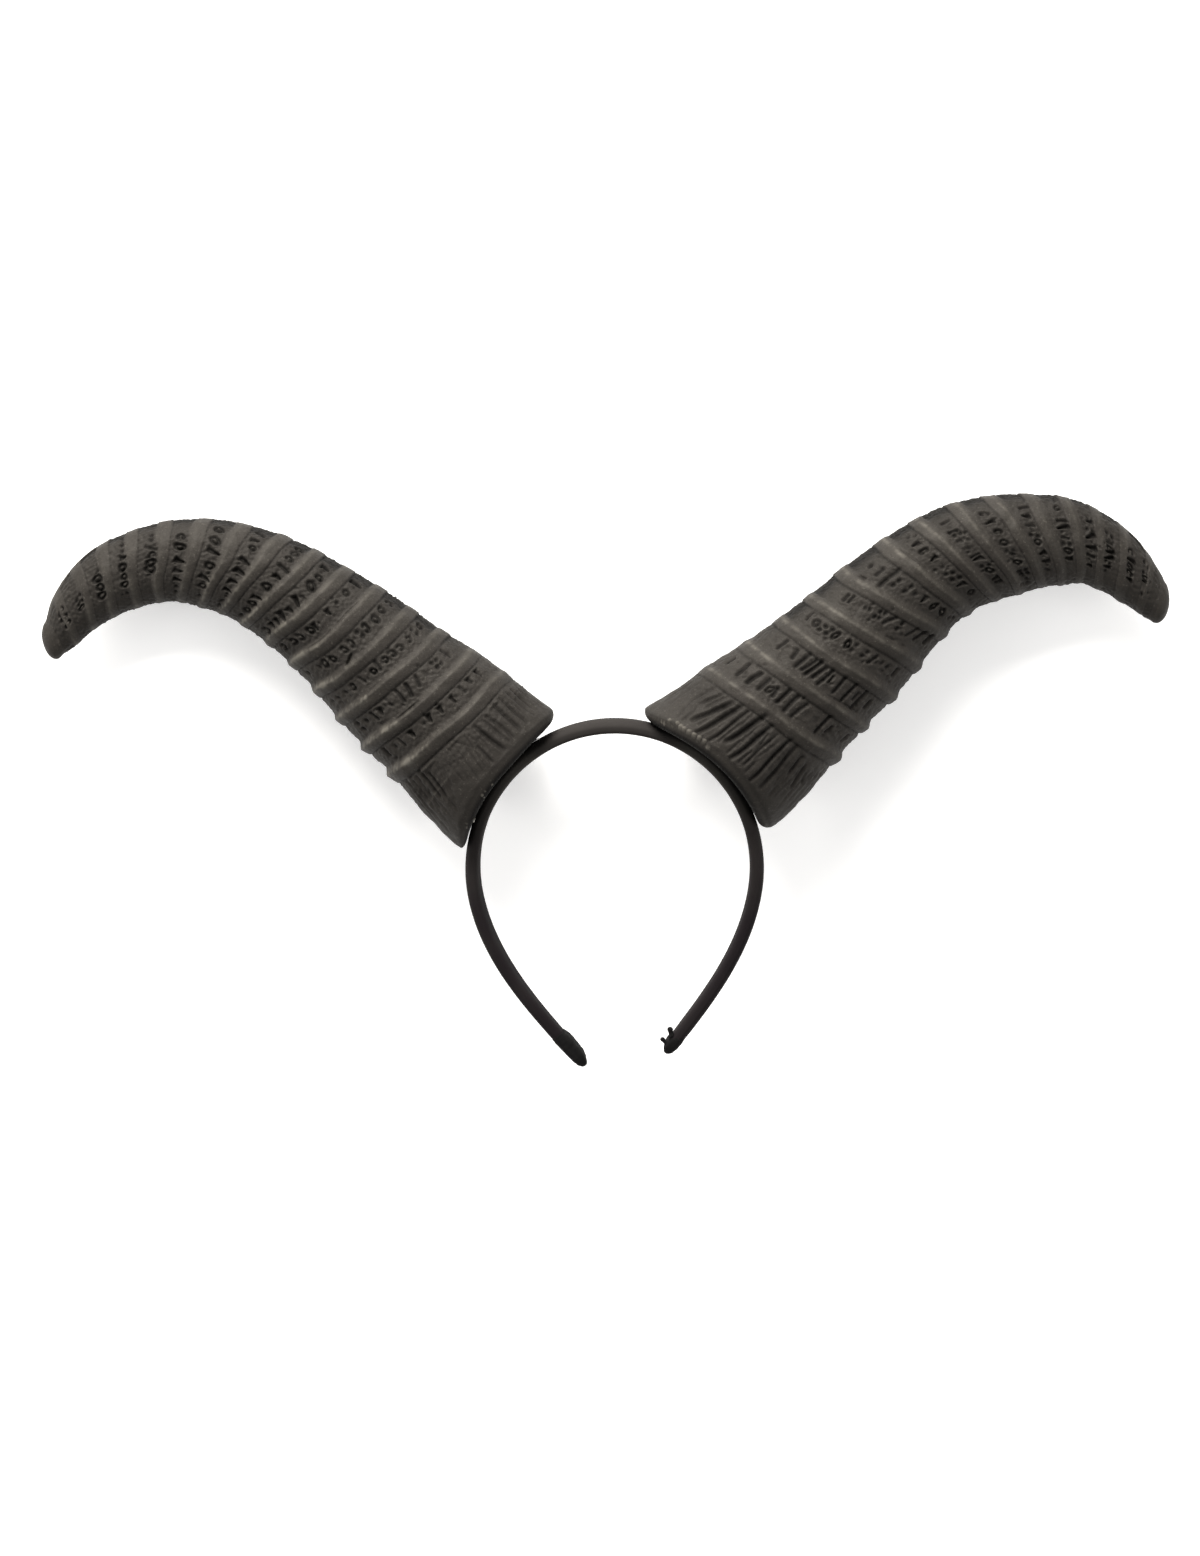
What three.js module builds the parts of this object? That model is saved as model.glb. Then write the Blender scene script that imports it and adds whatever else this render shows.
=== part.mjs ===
// Ribbed costume horns glued to a cloth-covered headband, lying on the horns' backs.
// Millimetres. The pieces are laid out as worn and seen from the front: x to the right,
// y up, z towards the viewer. The whole is then laid down on the horns' backs, +Z up.
import * as THREE from "three";

const DEGREE = Math.PI / 180;

// Headband: a springy strip, round over the crown, with legs that run out straight.
const BAND_RADIUS = 59.9; // to the middle of the strip's thickness
const BAND_THICKNESS = 5.9;
const BAND_WIDTH = { crown: 14, end: 9 };
const BAND_TWIST = { left: 10 * DEGREE, right: 2 * DEGREE }; // most, below the horns
const TWIST_START = 40; // from the crown's top
const CROWN_TURN = 96.5 * DEGREE; // turned at full curvature, each side of the top
const LEG_TURN = 129 * DEGREE; // turned in all where a leg runs straight
const LEG_EASE = 80; // stretch over which the curve runs out
const LEG_STRAIGHT = { left: 11, right: 5.5 };
const CROWN_RISE = 1.025; // the upper half is a little taller than round
const BAND_STEP = 5;
const BAND_OUTER = BAND_RADIUS + BAND_THICKNESS / 2;

// Half of the strip's section, in shares of its half width and half thickness.
const BAND_SECTION = [
  { across: 0.68, out: -1 },
  { across: 0.92, out: -0.75 },
  { across: 1, out: -0.25 },
  { across: 0.92, out: 0.33 },
  { across: 0.68, out: 0.75 },
  { across: 0.28, out: 1 },
];

// Rounded ends of the strip: how far back from the end, and the share of the full section.
const BAND_END = [
  { back: 0, share: 0.4 },
  { back: 0.7, share: 0.74 },
  { back: 2, share: 0.94 },
];

// Cloth turned in over the ends of the strip.
const TAB_LENGTH = { left: 17, right: 8 };
const TAB_WIDTH = 6.4;
const TAB_THICKNESS = 0.8;
const TAB_EDGE = 0.25; // rounded edge
const TAB_SETBACK = 1.2; // from the strip's end

// Glue between the strip and the horns.
const SEAM_GAP = 0.3;
const GLUE_THICKNESS = 0.6;
const GLUE_WIDTH = 5;
const GLUE_HALF_TURN = 22 * DEGREE;

// Horns. The base is hollowed to a seat round the strip's curve.
const SEAT_RADIUS = BAND_OUTER + GLUE_THICKNESS + 2 * SEAM_GAP;
const HORN_DEPTH_SHARE = 0.8; // front to back, as a share of the width across
const HORN_SIDES = 20;
const SEAT = {
  left: { turn: 50 * DEGREE, across: 69 },
  right: { turn: 45 * DEGREE, across: 73 },
};

// The horns lean back from the plane of the strip, about a level line through their seats.
const SWEEP_BACK = 8 * DEGREE;
const SWEEP_LINE = new THREE.Vector3(0, 43, 0);

// A row for each ring in the plane of the horns, after two for the smooth collar at the base:
// its middle, out from the centre plane and up from the crown's centre, its width across, the
// angle of its line above the horizontal, and how far its rib stands up.
const RINGS = {
  left: [
    { out: 44, up: 38.5, across: 65, angle: 51, rib: 0 },
    { out: 55.7, up: 51, across: 65.8, angle: 45, rib: 0 },
    { out: 67.4, up: 63.2, across: 66.5, angle: 39, rib: 2 },
    { out: 79, up: 74, across: 64, angle: 38, rib: 1.9 },
    { out: 90.5, up: 84.5, across: 59.5, angle: 37, rib: 1.8 },
    { out: 102, up: 96, across: 55, angle: 37, rib: 1.7 },
    { out: 113.3, up: 106.6, across: 51.2, angle: 37, rib: 1.6 },
    { out: 125.5, up: 116, across: 47.5, angle: 39, rib: 1.5 },
    { out: 136.5, up: 123.6, across: 45.2, angle: 42, rib: 1.4 },
    { out: 148, up: 129.5, across: 43, angle: 48, rib: 1.3 },
    { out: 160.4, up: 133.7, across: 40.2, angle: 59, rib: 1.2 },
    { out: 172.3, up: 136.1, across: 37, angle: 71, rib: 1.1 },
    { out: 184.9, up: 135.8, across: 35, angle: 82, rib: 1 },
    { out: 197, up: 133.1, across: 32.6, angle: 93, rib: 0.8 },
    { out: 209.1, up: 128.1, across: 30.9, angle: 99, rib: 0.7 },
    { out: 218.7, up: 121.4, across: 28, angle: 104, rib: 0.6 },
    { out: 226.7, up: 112.6, across: 23, angle: 110, rib: 0.4 },
    { out: 231.3, up: 105.7, across: 15.7, angle: 116, rib: 0 },
  ],
  right: [
    { out: 41, up: 40, across: 68, angle: 46, rib: 0 },
    { out: 55, up: 52, across: 68.8, angle: 41, rib: 0 },
    { out: 68.8, up: 64.1, across: 69, angle: 37, rib: 2 },
    { out: 83.2, up: 75.4, across: 63.5, angle: 37, rib: 1.9 },
    { out: 96.7, up: 86.4, across: 60, angle: 37, rib: 1.8 },
    { out: 108.7, up: 97.4, across: 56, angle: 37, rib: 1.7 },
    { out: 120.2, up: 108.2, across: 52.2, angle: 38, rib: 1.6 },
    { out: 133.2, up: 118.2, across: 48.8, angle: 42, rib: 1.5 },
    { out: 146.3, up: 125.1, across: 48.2, angle: 49, rib: 1.4 },
    { out: 159.6, up: 129.6, across: 47.9, angle: 56, rib: 1.3 },
    { out: 172.7, up: 132.1, across: 43.9, angle: 65, rib: 1.2 },
    { out: 184.9, up: 132.4, across: 40.3, angle: 75, rib: 1 },
    { out: 196.9, up: 131.6, across: 36.4, angle: 84, rib: 0.9 },
    { out: 207.5, up: 127, across: 33.5, angle: 92, rib: 0.8 },
    { out: 217.6, up: 119.9, across: 29.8, angle: 98, rib: 0.7 },
    { out: 225.8, up: 111.8, across: 24, angle: 104, rib: 0.4 },
    { out: 230.6, up: 105.5, across: 17, angle: 112, rib: 0 },
  ],
};

// Sections of one rib, in shares of the ring spacing from its crest: a crisp step on the
// base side and a soft slope on the tip side.
const RIB_PROFILE = [
  { at: -0.34, share: 0 },
  { at: -0.2, share: 0.8 },
  { at: -0.04, share: 1 },
  { at: 0.14, share: 0.75 },
  { at: 0.38, share: 0.05 },
];
const RIB_MEAN = 0.75; // ribs stand lower on the outer curve of the horn
const RIB_SWING = 0.4; // and higher on its inner curve
const COLLAR_ROWS = 2;
const COLLAR_SECTIONS = [0.2, 0.45];

// The base: rings from its middle to its rounded edge, as a share of its width, lifted off
// the seat, and more so at the front and the back. The tip: rings of its rounded cap.
const BASE_EDGE = [
  { share: 0.25, lift: 0 },
  { share: 0.5, lift: 0 },
  { share: 0.75, lift: 0 },
  { share: 0.94, lift: 0 },
  { share: 0.98, lift: 0.5 },
  { share: 1, lift: 1.8 },
];
const BASE_EDGE_SWELL = 1.8;
const TIP_CAP = 6.5;
const TIP_CAP_ANGLES = [30, 55, 75];

// Lying down: the turn that brings the horns' backs onto the surface.
const REST_TILT = 0.4 * DEGREE;
const REST_ROLL = -0.25 * DEGREE;

const SIDES = { left: -1, right: 1 };

const cloth = new THREE.MeshStandardMaterial({ color: 0x2b2829, roughness: 0.8, metalness: 0 });
const tabCloth = new THREE.MeshStandardMaterial({ color: 0x282727, roughness: 0.9, metalness: 0 });
const foam = new THREE.MeshStandardMaterial({ color: 0x413d39, roughness: 0.62, metalness: 0 });
const glue = new THREE.MeshStandardMaterial({ color: 0xb9b4a6, roughness: 0.35, metalness: 0 });

// Turns every face of an indexed surface round if it encloses its volume inside out.
function facingOut(geometry) {
  const index = geometry.getIndex();
  const position = geometry.getAttribute("position");
  const corner = [new THREE.Vector3(), new THREE.Vector3(), new THREE.Vector3()];
  let volume = 0;
  for (let i = 0; i < index.count; i += 3) {
    corner.forEach((c, k) => c.fromBufferAttribute(position, index.getX(i + k)));
    volume += corner[0].dot(corner[1].clone().cross(corner[2]));
  }
  if (volume < 0) {
    geometry.setIndex(Array.from(index.array).reverse());
  }
  geometry.computeVertexNormals();
  return geometry;
}

// A closed skin over rings of points, all of one count, with a pole point at each end.
function loft(startPole, rings, endPole) {
  const count = rings[0].length;
  const points = [startPole, ...rings.flat(), endPole];
  const index = [];
  const last = points.length - 1;
  for (let i = 0; i < count; i++) {
    const next = (i + 1) % count;
    index.push(0, 1 + next, 1 + i);
    for (let r = 0; r < rings.length - 1; r++) {
      const a = 1 + r * count;
      const b = a + count;
      index.push(a + i, a + next, b + next);
      index.push(a + i, b + next, b + i);
    }
    const top = last - count;
    index.push(last, top + i, top + next);
  }
  return facingOut(new THREE.BufferGeometry().setFromPoints(points).setIndex(index));
}

// Heading of the strip, turned from level, at a length along it from the crown's top.
function bandTurn(length) {
  const crown = BAND_RADIUS * CROWN_TURN;
  if (length <= crown) {
    return length / BAND_RADIUS;
  }
  const eased = Math.min((length - crown) / LEG_EASE, 1);
  return CROWN_TURN + (LEG_TURN - CROWN_TURN) * eased * (2 - eased);
}

// Height of the upper half of the crown, and of what is seated on it.
function risen(y) {
  return Math.max(y, 0) * CROWN_RISE + Math.min(y, 0);
}

// Places along one side of the strip, from next to the crown's top to the end of the leg.
function bandStations(side) {
  const sign = SIDES[side];
  const total = BAND_RADIUS * CROWN_TURN + LEG_EASE + LEG_STRAIGHT[side];
  const full = total - BAND_END[BAND_END.length - 1].back - BAND_STEP / 2;
  const steps = Math.floor(full / BAND_STEP);
  const lengths = Array.from({ length: steps + 1 }, (_, i) => BAND_STEP * (i + 0.5));
  const shares = lengths.map(() => 1);
  for (const { back, share } of BAND_END.toReversed()) {
    lengths.push(total - back);
    shares.push(share);
  }
  const spot = new THREE.Vector2(0, BAND_RADIUS);
  let from = 0;
  return lengths.map((length, i) => {
    const turn = bandTurn((from + length) / 2);
    spot.x += sign * Math.cos(turn) * (length - from);
    spot.y -= Math.sin(turn) * (length - from);
    from = length;
    const heading = bandTurn(length);
    const out = new THREE.Vector2(sign * Math.sin(heading), Math.cos(heading));
    const along = new THREE.Vector2(sign * Math.cos(heading), -Math.sin(heading));
    const place = new THREE.Vector2(spot.x, risen(spot.y));
    const width = THREE.MathUtils.lerp(BAND_WIDTH.crown, BAND_WIDTH.end, length / total);
    const twisted = Math.max(length - TWIST_START, 0) / (total - TWIST_START);
    const twist = BAND_TWIST[side] * Math.sin(Math.PI * twisted) ** 2;
    return { spot: place, out, along, width, twist, share: shares[i] };
  });
}

// The strip's whole section at one place.
function bandRing({ spot, out, width, twist, share }) {
  const back = BAND_SECTION.map((p) => ({ across: -p.across, out: p.out })).toReversed();
  return [...BAND_SECTION, ...back].map((p) => {
    const corner = new THREE.Vector2(p.across * width, p.out * BAND_THICKNESS);
    corner.multiplyScalar(share / 2).rotateAround(new THREE.Vector2(), twist);
    return new THREE.Vector3(spot.x + out.x * corner.y, spot.y + out.y * corner.y, corner.x);
  });
}

function headband() {
  const stations = [...bandStations("left").toReversed(), ...bandStations("right")];
  const first = stations[0].spot;
  const last = stations[stations.length - 1].spot;
  return loft(
    new THREE.Vector3(first.x, first.y, 0),
    stations.map(bandRing),
    new THREE.Vector3(last.x, last.y, 0),
  );
}

// A flat tongue with round ends, lying on the inner face of a leg at its end.
function endTab(side) {
  const end = bandStations(side).at(-1);
  const half = TAB_WIDTH / 2 - TAB_EDGE;
  const tongue = new THREE.Shape();
  tongue.absarc(-half - TAB_EDGE, 0, half, -Math.PI / 2, Math.PI / 2, false);
  tongue.absarc(half + TAB_EDGE - TAB_LENGTH[side], 0, half, Math.PI / 2, (Math.PI * 3) / 2, false);
  const geometry = new THREE.ExtrudeGeometry(tongue, {
    depth: TAB_THICKNESS - 2 * TAB_EDGE,
    bevelThickness: TAB_EDGE,
    bevelSize: TAB_EDGE,
    bevelSegments: 1,
    curveSegments: 6,
  });
  const along = new THREE.Vector3(end.along.x, end.along.y, 0);
  const inward = new THREE.Vector3(-end.out.x, -end.out.y, 0);
  const across = new THREE.Vector3().crossVectors(inward, along);
  const start = new THREE.Vector3(end.spot.x, end.spot.y, 0)
    .addScaledVector(along, -TAB_SETBACK)
    .addScaledVector(inward, BAND_THICKNESS / 2 + SEAM_GAP + TAB_EDGE);
  const place = new THREE.Matrix4().makeBasis(along, across, inward).setPosition(start);
  return geometry.applyMatrix4(place);
}

// A strip of glue that follows the crown under a horn's base.
function glueBead(side) {
  const middle = Math.PI / 2 - SIDES[side] * SEAT[side].turn;
  const low = middle - GLUE_HALF_TURN;
  const high = middle + GLUE_HALF_TURN;
  const inner = BAND_OUTER + SEAM_GAP;
  const strip = new THREE.Shape();
  strip.absarc(0, 0, inner + GLUE_THICKNESS, low, high, false);
  strip.absarc(0, 0, inner, high, low, true);
  const geometry = new THREE.ExtrudeGeometry(strip, {
    depth: GLUE_WIDTH,
    bevelEnabled: false,
    curveSegments: 14,
  });
  return geometry.scale(1, CROWN_RISE, 1).translate(0, 0, -GLUE_WIDTH / 2);
}

// Height of the rib at a place counted in rings, as a share of that ring's full height.
function ribShare(at) {
  const offset = at - Math.round(at);
  const next = RIB_PROFILE.findIndex((p) => p.at > offset);
  if (next < 1) {
    return 0;
  }
  const [a, b] = [RIB_PROFILE[next - 1], RIB_PROFILE[next]];
  return THREE.MathUtils.lerp(a.share, b.share, (offset - a.at) / (b.at - a.at));
}

// A point of the hollowed base: c and s run round the section, at a share of its width,
// lifted off the seat.
function seatPoint(side, c, s, depth, { share, lift }) {
  const { turn, across } = SEAT[side];
  const round = turn - (c * share * across) / 2 / SEAT_RADIUS;
  const radius = SEAT_RADIUS + lift * (1 + BASE_EDGE_SWELL * s * s);
  return new THREE.Vector3(
    SIDES[side] * Math.sin(round) * radius,
    risen(Math.cos(round) * radius),
    (s * share * depth) / 2,
  );
}

// Leans a point of the horns' plane back.
function sweepBack(point) {
  return point
    .sub(SWEEP_LINE)
    .applyAxisAngle(new THREE.Vector3(1, 0, 0), -SWEEP_BACK)
    .add(SWEEP_LINE);
}

function horn(side) {
  const rows = RINGS[side];
  const sign = SIDES[side];
  const path = new THREE.CatmullRomCurve3(
    rows.map((r) => new THREE.Vector3(sign * r.out, r.up, 0)),
    false,
    "catmullrom",
  );
  const form = new THREE.CatmullRomCurve3(
    rows.map((r) => new THREE.Vector3(r.across, r.angle * DEGREE, r.rib)),
    false,
    "catmullrom",
  );
  const end = rows.length - 1;
  const baseDepth = rows[0].across * HORN_DEPTH_SHARE;
  const round = Array.from({ length: HORN_SIDES }, (_, i) => (i / HORN_SIDES) * 2 * Math.PI);

  // A point of a section: c and s run round it, half is its half width.
  const ringPoint = (middle, angle, half, c, s) =>
    sweepBack(
      new THREE.Vector3(
        middle.x - sign * Math.cos(angle) * c * half,
        middle.y + Math.sin(angle) * c * half,
        s * half * HORN_DEPTH_SHARE,
      ),
    );

  // One section across the horn, counted in rings from the base, drawn in by the tip's cap.
  // Towards the base it is bent to the seat.
  const section = (at, shrink = 1, ahead = 0) => {
    const middle = path.getPoint(at / end);
    const { x: across, y: angle, z: rib } = form.getPoint(at / end);
    middle.addScaledVector(path.getTangent(at / end), ahead);
    const bend = Math.max(1 - at / COLLAR_ROWS, 0) ** 2;
    return round.map((a) => {
      const c = Math.cos(a);
      const s = Math.sin(a);
      const stand = rib * (RIB_MEAN - RIB_SWING * c) * (ribShare(at) - 1);
      const point = ringPoint(middle, angle, (across / 2 + stand) * shrink, c, s);
      const flat = ringPoint(path.getPoint(0), rows[0].angle * DEGREE, rows[0].across / 2, c, s);
      const seated = seatPoint(side, c, s, baseDepth, BASE_EDGE.at(-1));
      return point.addScaledVector(seated.sub(flat), bend);
    });
  };

  const base = BASE_EDGE.map((edge) =>
    round.map((a) => seatPoint(side, Math.cos(a), Math.sin(a), baseDepth, edge)),
  );
  const body = COLLAR_SECTIONS.map((at) => section(at));
  for (let ring = 1; ring < end; ring++) {
    for (const { at } of RIB_PROFILE) {
      body.push(section(ring + at));
    }
  }
  const cap = [0, ...TIP_CAP_ANGLES].map((a) =>
    section(end, Math.cos(a * DEGREE), Math.sin(a * DEGREE) * TIP_CAP),
  );
  const tip = sweepBack(path.getPoint(1).addScaledVector(path.getTangent(1), TIP_CAP));
  const middle = seatPoint(side, 0, 0, 0, BASE_EDGE[0]);
  return loft(middle, [...base, ...body, ...cap], tip);
}

function piece(name, geometry, material) {
  const mesh = new THREE.Mesh(geometry, material);
  mesh.name = name;
  return mesh;
}

const worn = new THREE.Group();
worn.add(piece("headband", headband(), cloth));
for (const side of Object.keys(SIDES)) {
  worn.add(piece(`${side}_end_tab`, endTab(side), tabCloth));
  worn.add(piece(`${side}_glue_bead`, glueBead(side), glue));
  worn.add(piece(`${side}_horn`, horn(side), foam));
}

// Laid down, with the origin under the middle of its box, on the surface.
worn.rotation.set(REST_TILT, REST_ROLL, 0);
const hornedHeadband = new THREE.Group();
hornedHeadband.add(worn);
hornedHeadband.updateMatrixWorld(true);
const box = new THREE.Box3().setFromObject(hornedHeadband, true);
const middle = box.getCenter(new THREE.Vector3());
worn.position.set(-middle.x, -middle.y, -box.min.z);

export default hornedHeadband;
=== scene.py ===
"""Looks of ribbed foam horns on a cloth-covered headband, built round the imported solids.

Sizes are in millimetres, with the headband as worn and seen from the front: x to the viewer's
right, y up and z towards the viewer. A finished mesh is laid down on the horns' backs, in metres.
"""

import logging
import math
from collections.abc import Iterator, Sequence
from contextlib import contextmanager
from dataclasses import dataclass
from enum import Enum

import bmesh
import bpy
import numpy as np
from mathutils import Matrix, Vector


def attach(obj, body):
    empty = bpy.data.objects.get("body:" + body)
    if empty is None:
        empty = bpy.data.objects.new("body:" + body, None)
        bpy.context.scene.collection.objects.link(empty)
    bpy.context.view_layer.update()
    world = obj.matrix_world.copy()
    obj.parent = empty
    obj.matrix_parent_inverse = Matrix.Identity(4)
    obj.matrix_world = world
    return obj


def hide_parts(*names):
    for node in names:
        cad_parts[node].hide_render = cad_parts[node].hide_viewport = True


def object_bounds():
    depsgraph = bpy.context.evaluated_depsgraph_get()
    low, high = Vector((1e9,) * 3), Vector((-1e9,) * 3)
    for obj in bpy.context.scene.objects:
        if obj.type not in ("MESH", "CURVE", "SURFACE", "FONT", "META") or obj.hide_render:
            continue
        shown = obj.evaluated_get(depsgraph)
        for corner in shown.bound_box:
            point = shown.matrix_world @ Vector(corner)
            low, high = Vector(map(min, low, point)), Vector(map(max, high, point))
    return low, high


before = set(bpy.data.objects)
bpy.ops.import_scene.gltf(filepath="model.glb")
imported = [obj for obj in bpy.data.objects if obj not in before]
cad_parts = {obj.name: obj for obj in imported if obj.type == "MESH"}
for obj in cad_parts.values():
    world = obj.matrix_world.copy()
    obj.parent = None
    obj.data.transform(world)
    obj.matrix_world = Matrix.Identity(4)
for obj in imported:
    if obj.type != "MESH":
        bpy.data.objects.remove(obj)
SOLID_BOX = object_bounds()

LOG = logging.getLogger("horned_headband")
BODY = "root"
WHITE = (1.0, 1.0, 1.0, 1.0)

# Millimetres to the metre.
PER_METRE = 1000

# The crown is a little taller than a circle.
CROWN_RISE = 1.025

Numbers = np.ndarray
Colour = tuple[float, float, float]


class Side(Enum):
    """A side of the headband, as the viewer sees it."""

    LEFT = -1
    RIGHT = 1

    @property
    def word(self) -> str:
        """The side's word in the names of pieces."""
        return self.name.lower()


# Where each horn sits, as a turn from the crown's top.
SEAT_TURNS = {Side.LEFT: math.radians(50), Side.RIGHT: math.radians(45)}


class Mark(Enum):
    """A mark pressed into the foam between two ribs, with the sign that stands for it."""

    LOOP = "o"
    WIDE_LOOP = "O"
    OPEN_LOOP = "c"
    TICK = "i"
    STROKE = "|"
    RISING = "/"
    FALLING = "\\"
    DOT = "."
    PAIR = ":"
    PIT = "v"
    LONG_PIT = "V"
    SMUDGE = "s"
    SPECK = "'"


class Value:
    """A node's output that takes part in plain arithmetic."""

    def __init__(self, graph: "Graph", socket: bpy.types.NodeSocket) -> None:
        """Keep the graph and the output that stands for the value."""
        self.graph = graph
        self.socket = socket

    def _math(self, operation: str, first: "Value | float", second: "Value | float") -> "Value":
        """Join two terms by a maths node."""
        return self.graph.node("ShaderNodeMath", {"operation": operation}, {0: first, 1: second})

    def __add__(self, other: "Value | float") -> "Value":
        """Sum of the two."""
        return self._math("ADD", self, other)

    def __radd__(self, other: float) -> "Value":
        """Sum of the two."""
        return self._math("ADD", other, self)

    def __sub__(self, other: "Value | float") -> "Value":
        """This less the other."""
        return self._math("SUBTRACT", self, other)

    def __rsub__(self, other: float) -> "Value":
        """The other less this."""
        return self._math("SUBTRACT", other, self)

    def __mul__(self, other: "Value | float") -> "Value":
        """Product of the two."""
        return self._math("MULTIPLY", self, other)

    def __rmul__(self, other: float) -> "Value":
        """Product of the two."""
        return self._math("MULTIPLY", other, self)

    def between(self, low: float, high: float) -> "Value":
        """Ease from 0 at the low value to 1 at the high one."""
        settings = {"interpolation_type": "SMOOTHSTEP"}
        return self.graph.node("ShaderNodeMapRange", settings, {0: self, 1: low, 2: high})


class Graph:
    """The node tree of one material."""

    def __init__(self, name: str) -> None:
        """Start an empty material."""
        self.material = bpy.data.materials.new(name)
        self.material.use_nodes = True
        self.tree = self.material.node_tree
        self.tree.nodes.clear()

    def node(self, kind: str, settings: dict, sockets: dict, output: int | str = 0) -> Value:
        """Add a node.

        Args:
            kind: The node's type.
            settings: Its properties, set first.
            sockets: The values or links of its inputs, by name or number.
            output: The output to hand back.

        Returns:
            That output.
        """
        made = self.tree.nodes.new(kind)
        for word, setting in settings.items():
            setattr(made, word, setting)
        for key, term in sockets.items():
            if isinstance(term, Value):
                self.tree.links.new(term.socket, made.inputs[key])
            else:
                made.inputs[key].default_value = term
        return Value(self, made.outputs[output])

    def place(self) -> Value:
        """Place in the object's own frame."""
        return self.node("ShaderNodeTexCoord", {}, {}, "Object")

    def attribute(self, word: str) -> Value:
        """A number kept at the points of the mesh."""
        return self.node("ShaderNodeAttribute", {"attribute_name": word}, {}, "Fac")

    def noise(self, scale: float, detail: float, rough: float = 0.5) -> Value:
        """Soft noise, from 0 to 1, with so many lumps to the metre."""
        sockets = {"Vector": self.place(), "Scale": scale, "Detail": detail, "Roughness": rough}
        return self.node("ShaderNodeTexNoise", {}, sockets, "Fac")

    def mix(self, first: Value | Colour, second: Value | Colour, share: Value | float) -> Value:
        """Blend two colours by a share of the second."""
        ends = [term if isinstance(term, Value) else (*term, 1.0) for term in (first, second)]
        sockets = {0: share, 6: ends[0], 7: ends[1]}
        return self.node("ShaderNodeMix", {"data_type": "RGBA", "clamp_factor": True}, sockets, 2)

    def bump(self, height: Value, distance: float, strength: float) -> Value:
        """Surface normal of a fine relief, its distance in metres."""
        sockets = {"Height": height, "Distance": distance, "Strength": strength}
        return self.node("ShaderNodeBump", {}, sockets, "Normal")

    def surface(self, sockets: dict) -> bpy.types.Material:
        """Finish the material with one shader.

        Args:
            sockets: The values or links of the shader's inputs.

        Returns:
            The material.
        """
        shader = self.node("ShaderNodeBsdfPrincipled", {}, sockets, "BSDF")
        self.node_out(shader)
        return self.material

    def node_out(self, shader: Value) -> None:
        """Send the shader to the material's output."""
        made = self.tree.nodes.new("ShaderNodeOutputMaterial")
        self.tree.links.new(shader.socket, made.inputs["Surface"])


@dataclass(frozen=True)
class FoamFinish:
    """Skin of moulded foam, paler where the relief stands out, partly dry-brushed wear and partly a painted
    highlight, with painted shade in its cuts, creases and furrows.
    """

    body: Colour = (0.0157, 0.0138, 0.012)
    # Pale rib edges: partly dry-brushed wear, partly a painted highlight.
    worn: Colour = (0.073, 0.067, 0.057)
    # Painted shade in marks, grooves, furrows, creases and under the base.
    deep: Colour = (0.0016, 0.0014, 0.0013)
    roughness: float = 0.62
    gloss: float = 0.16
    gloss_tint: Colour = (1.0, 0.95, 0.88)
    bump_depth: float = 0.0004

    def material(self, name: str) -> bpy.types.Material:
        """Make the material.

        Args:
            name: Its name.

        Returns:
            The material, which reads the point values "cut", painted shade, and "edge", pale edges that are
            partly a painted highlight.
        """
        graph = Graph(name)
        blotch = graph.noise(scale=38.0, detail=3.0)
        grain = graph.noise(scale=1500.0, detail=2.0, rough=0.6)
        skin = graph.noise(scale=420.0, detail=2.0)
        speck = graph.noise(scale=900.0, detail=1.0).between(0.66, 0.74)
        # Pale edges, partly dry-brushed wear and partly a painted highlight, with random paler tone.
        edge = graph.attribute("edge") * (0.45 + blotch)
        share = edge + 0.22 * (blotch - 0.45) + 0.3 * speck + 0.3 * (grain - 0.45)
        colour = graph.mix(self.body, self.worn, share)
        # Painted shade where the skin is cut, creased or hollow, and under the base.
        colour = graph.mix(colour, self.deep, graph.attribute("cut"))
        rough = self.roughness + 0.18 * (skin - 0.5) + 0.2 * graph.attribute("cut")
        relief = skin * 0.7 + grain * 0.3
        return graph.surface(
            {
                "Base Color": colour,
                "Roughness": rough,
                "Specular IOR Level": self.gloss,
                "Specular Tint": (*self.gloss_tint, 1.0),
                "Normal": graph.bump(relief, self.bump_depth, strength=0.75),
            }
        )


@dataclass(frozen=True)
class ClothFinish:
    """Close satin cloth, paler in random patches and where painted light is laid on it."""

    colour: Colour = (0.0088, 0.0069, 0.0078)
    # Painted light: a painted sheen on the crown and painted light over the shade under the horns.
    worn: Colour = (0.0384, 0.0358, 0.0318)
    roughness: float = 0.8
    gloss: float = 0.06
    bump_depth: float = 0.0002

    def material(self, name: str) -> bpy.types.Material:
        """Make the material.

        Args:
            name: Its name.

        Returns:
            The material, which reads a point value of painted light: a painted sheen on the crown and
            painted light over the shade under the horns.
        """
        graph = Graph(name)
        patch = graph.noise(scale=55.0, detail=2.0).between(0.35, 0.75)
        thread = graph.noise(scale=2400.0, detail=2.0, rough=0.7)
        return graph.surface(
            {
                # Painted light along the strip, with random paler patches.
                "Base Color": graph.mix(self.colour, self.worn, graph.attribute("painted_light") + 0.1 * patch),
                "Roughness": self.roughness + 0.15 * (thread - 0.5),
                "Specular IOR Level": self.gloss,
                "Normal": graph.bump(thread, self.bump_depth, strength=0.25),
            }
        )


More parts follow.
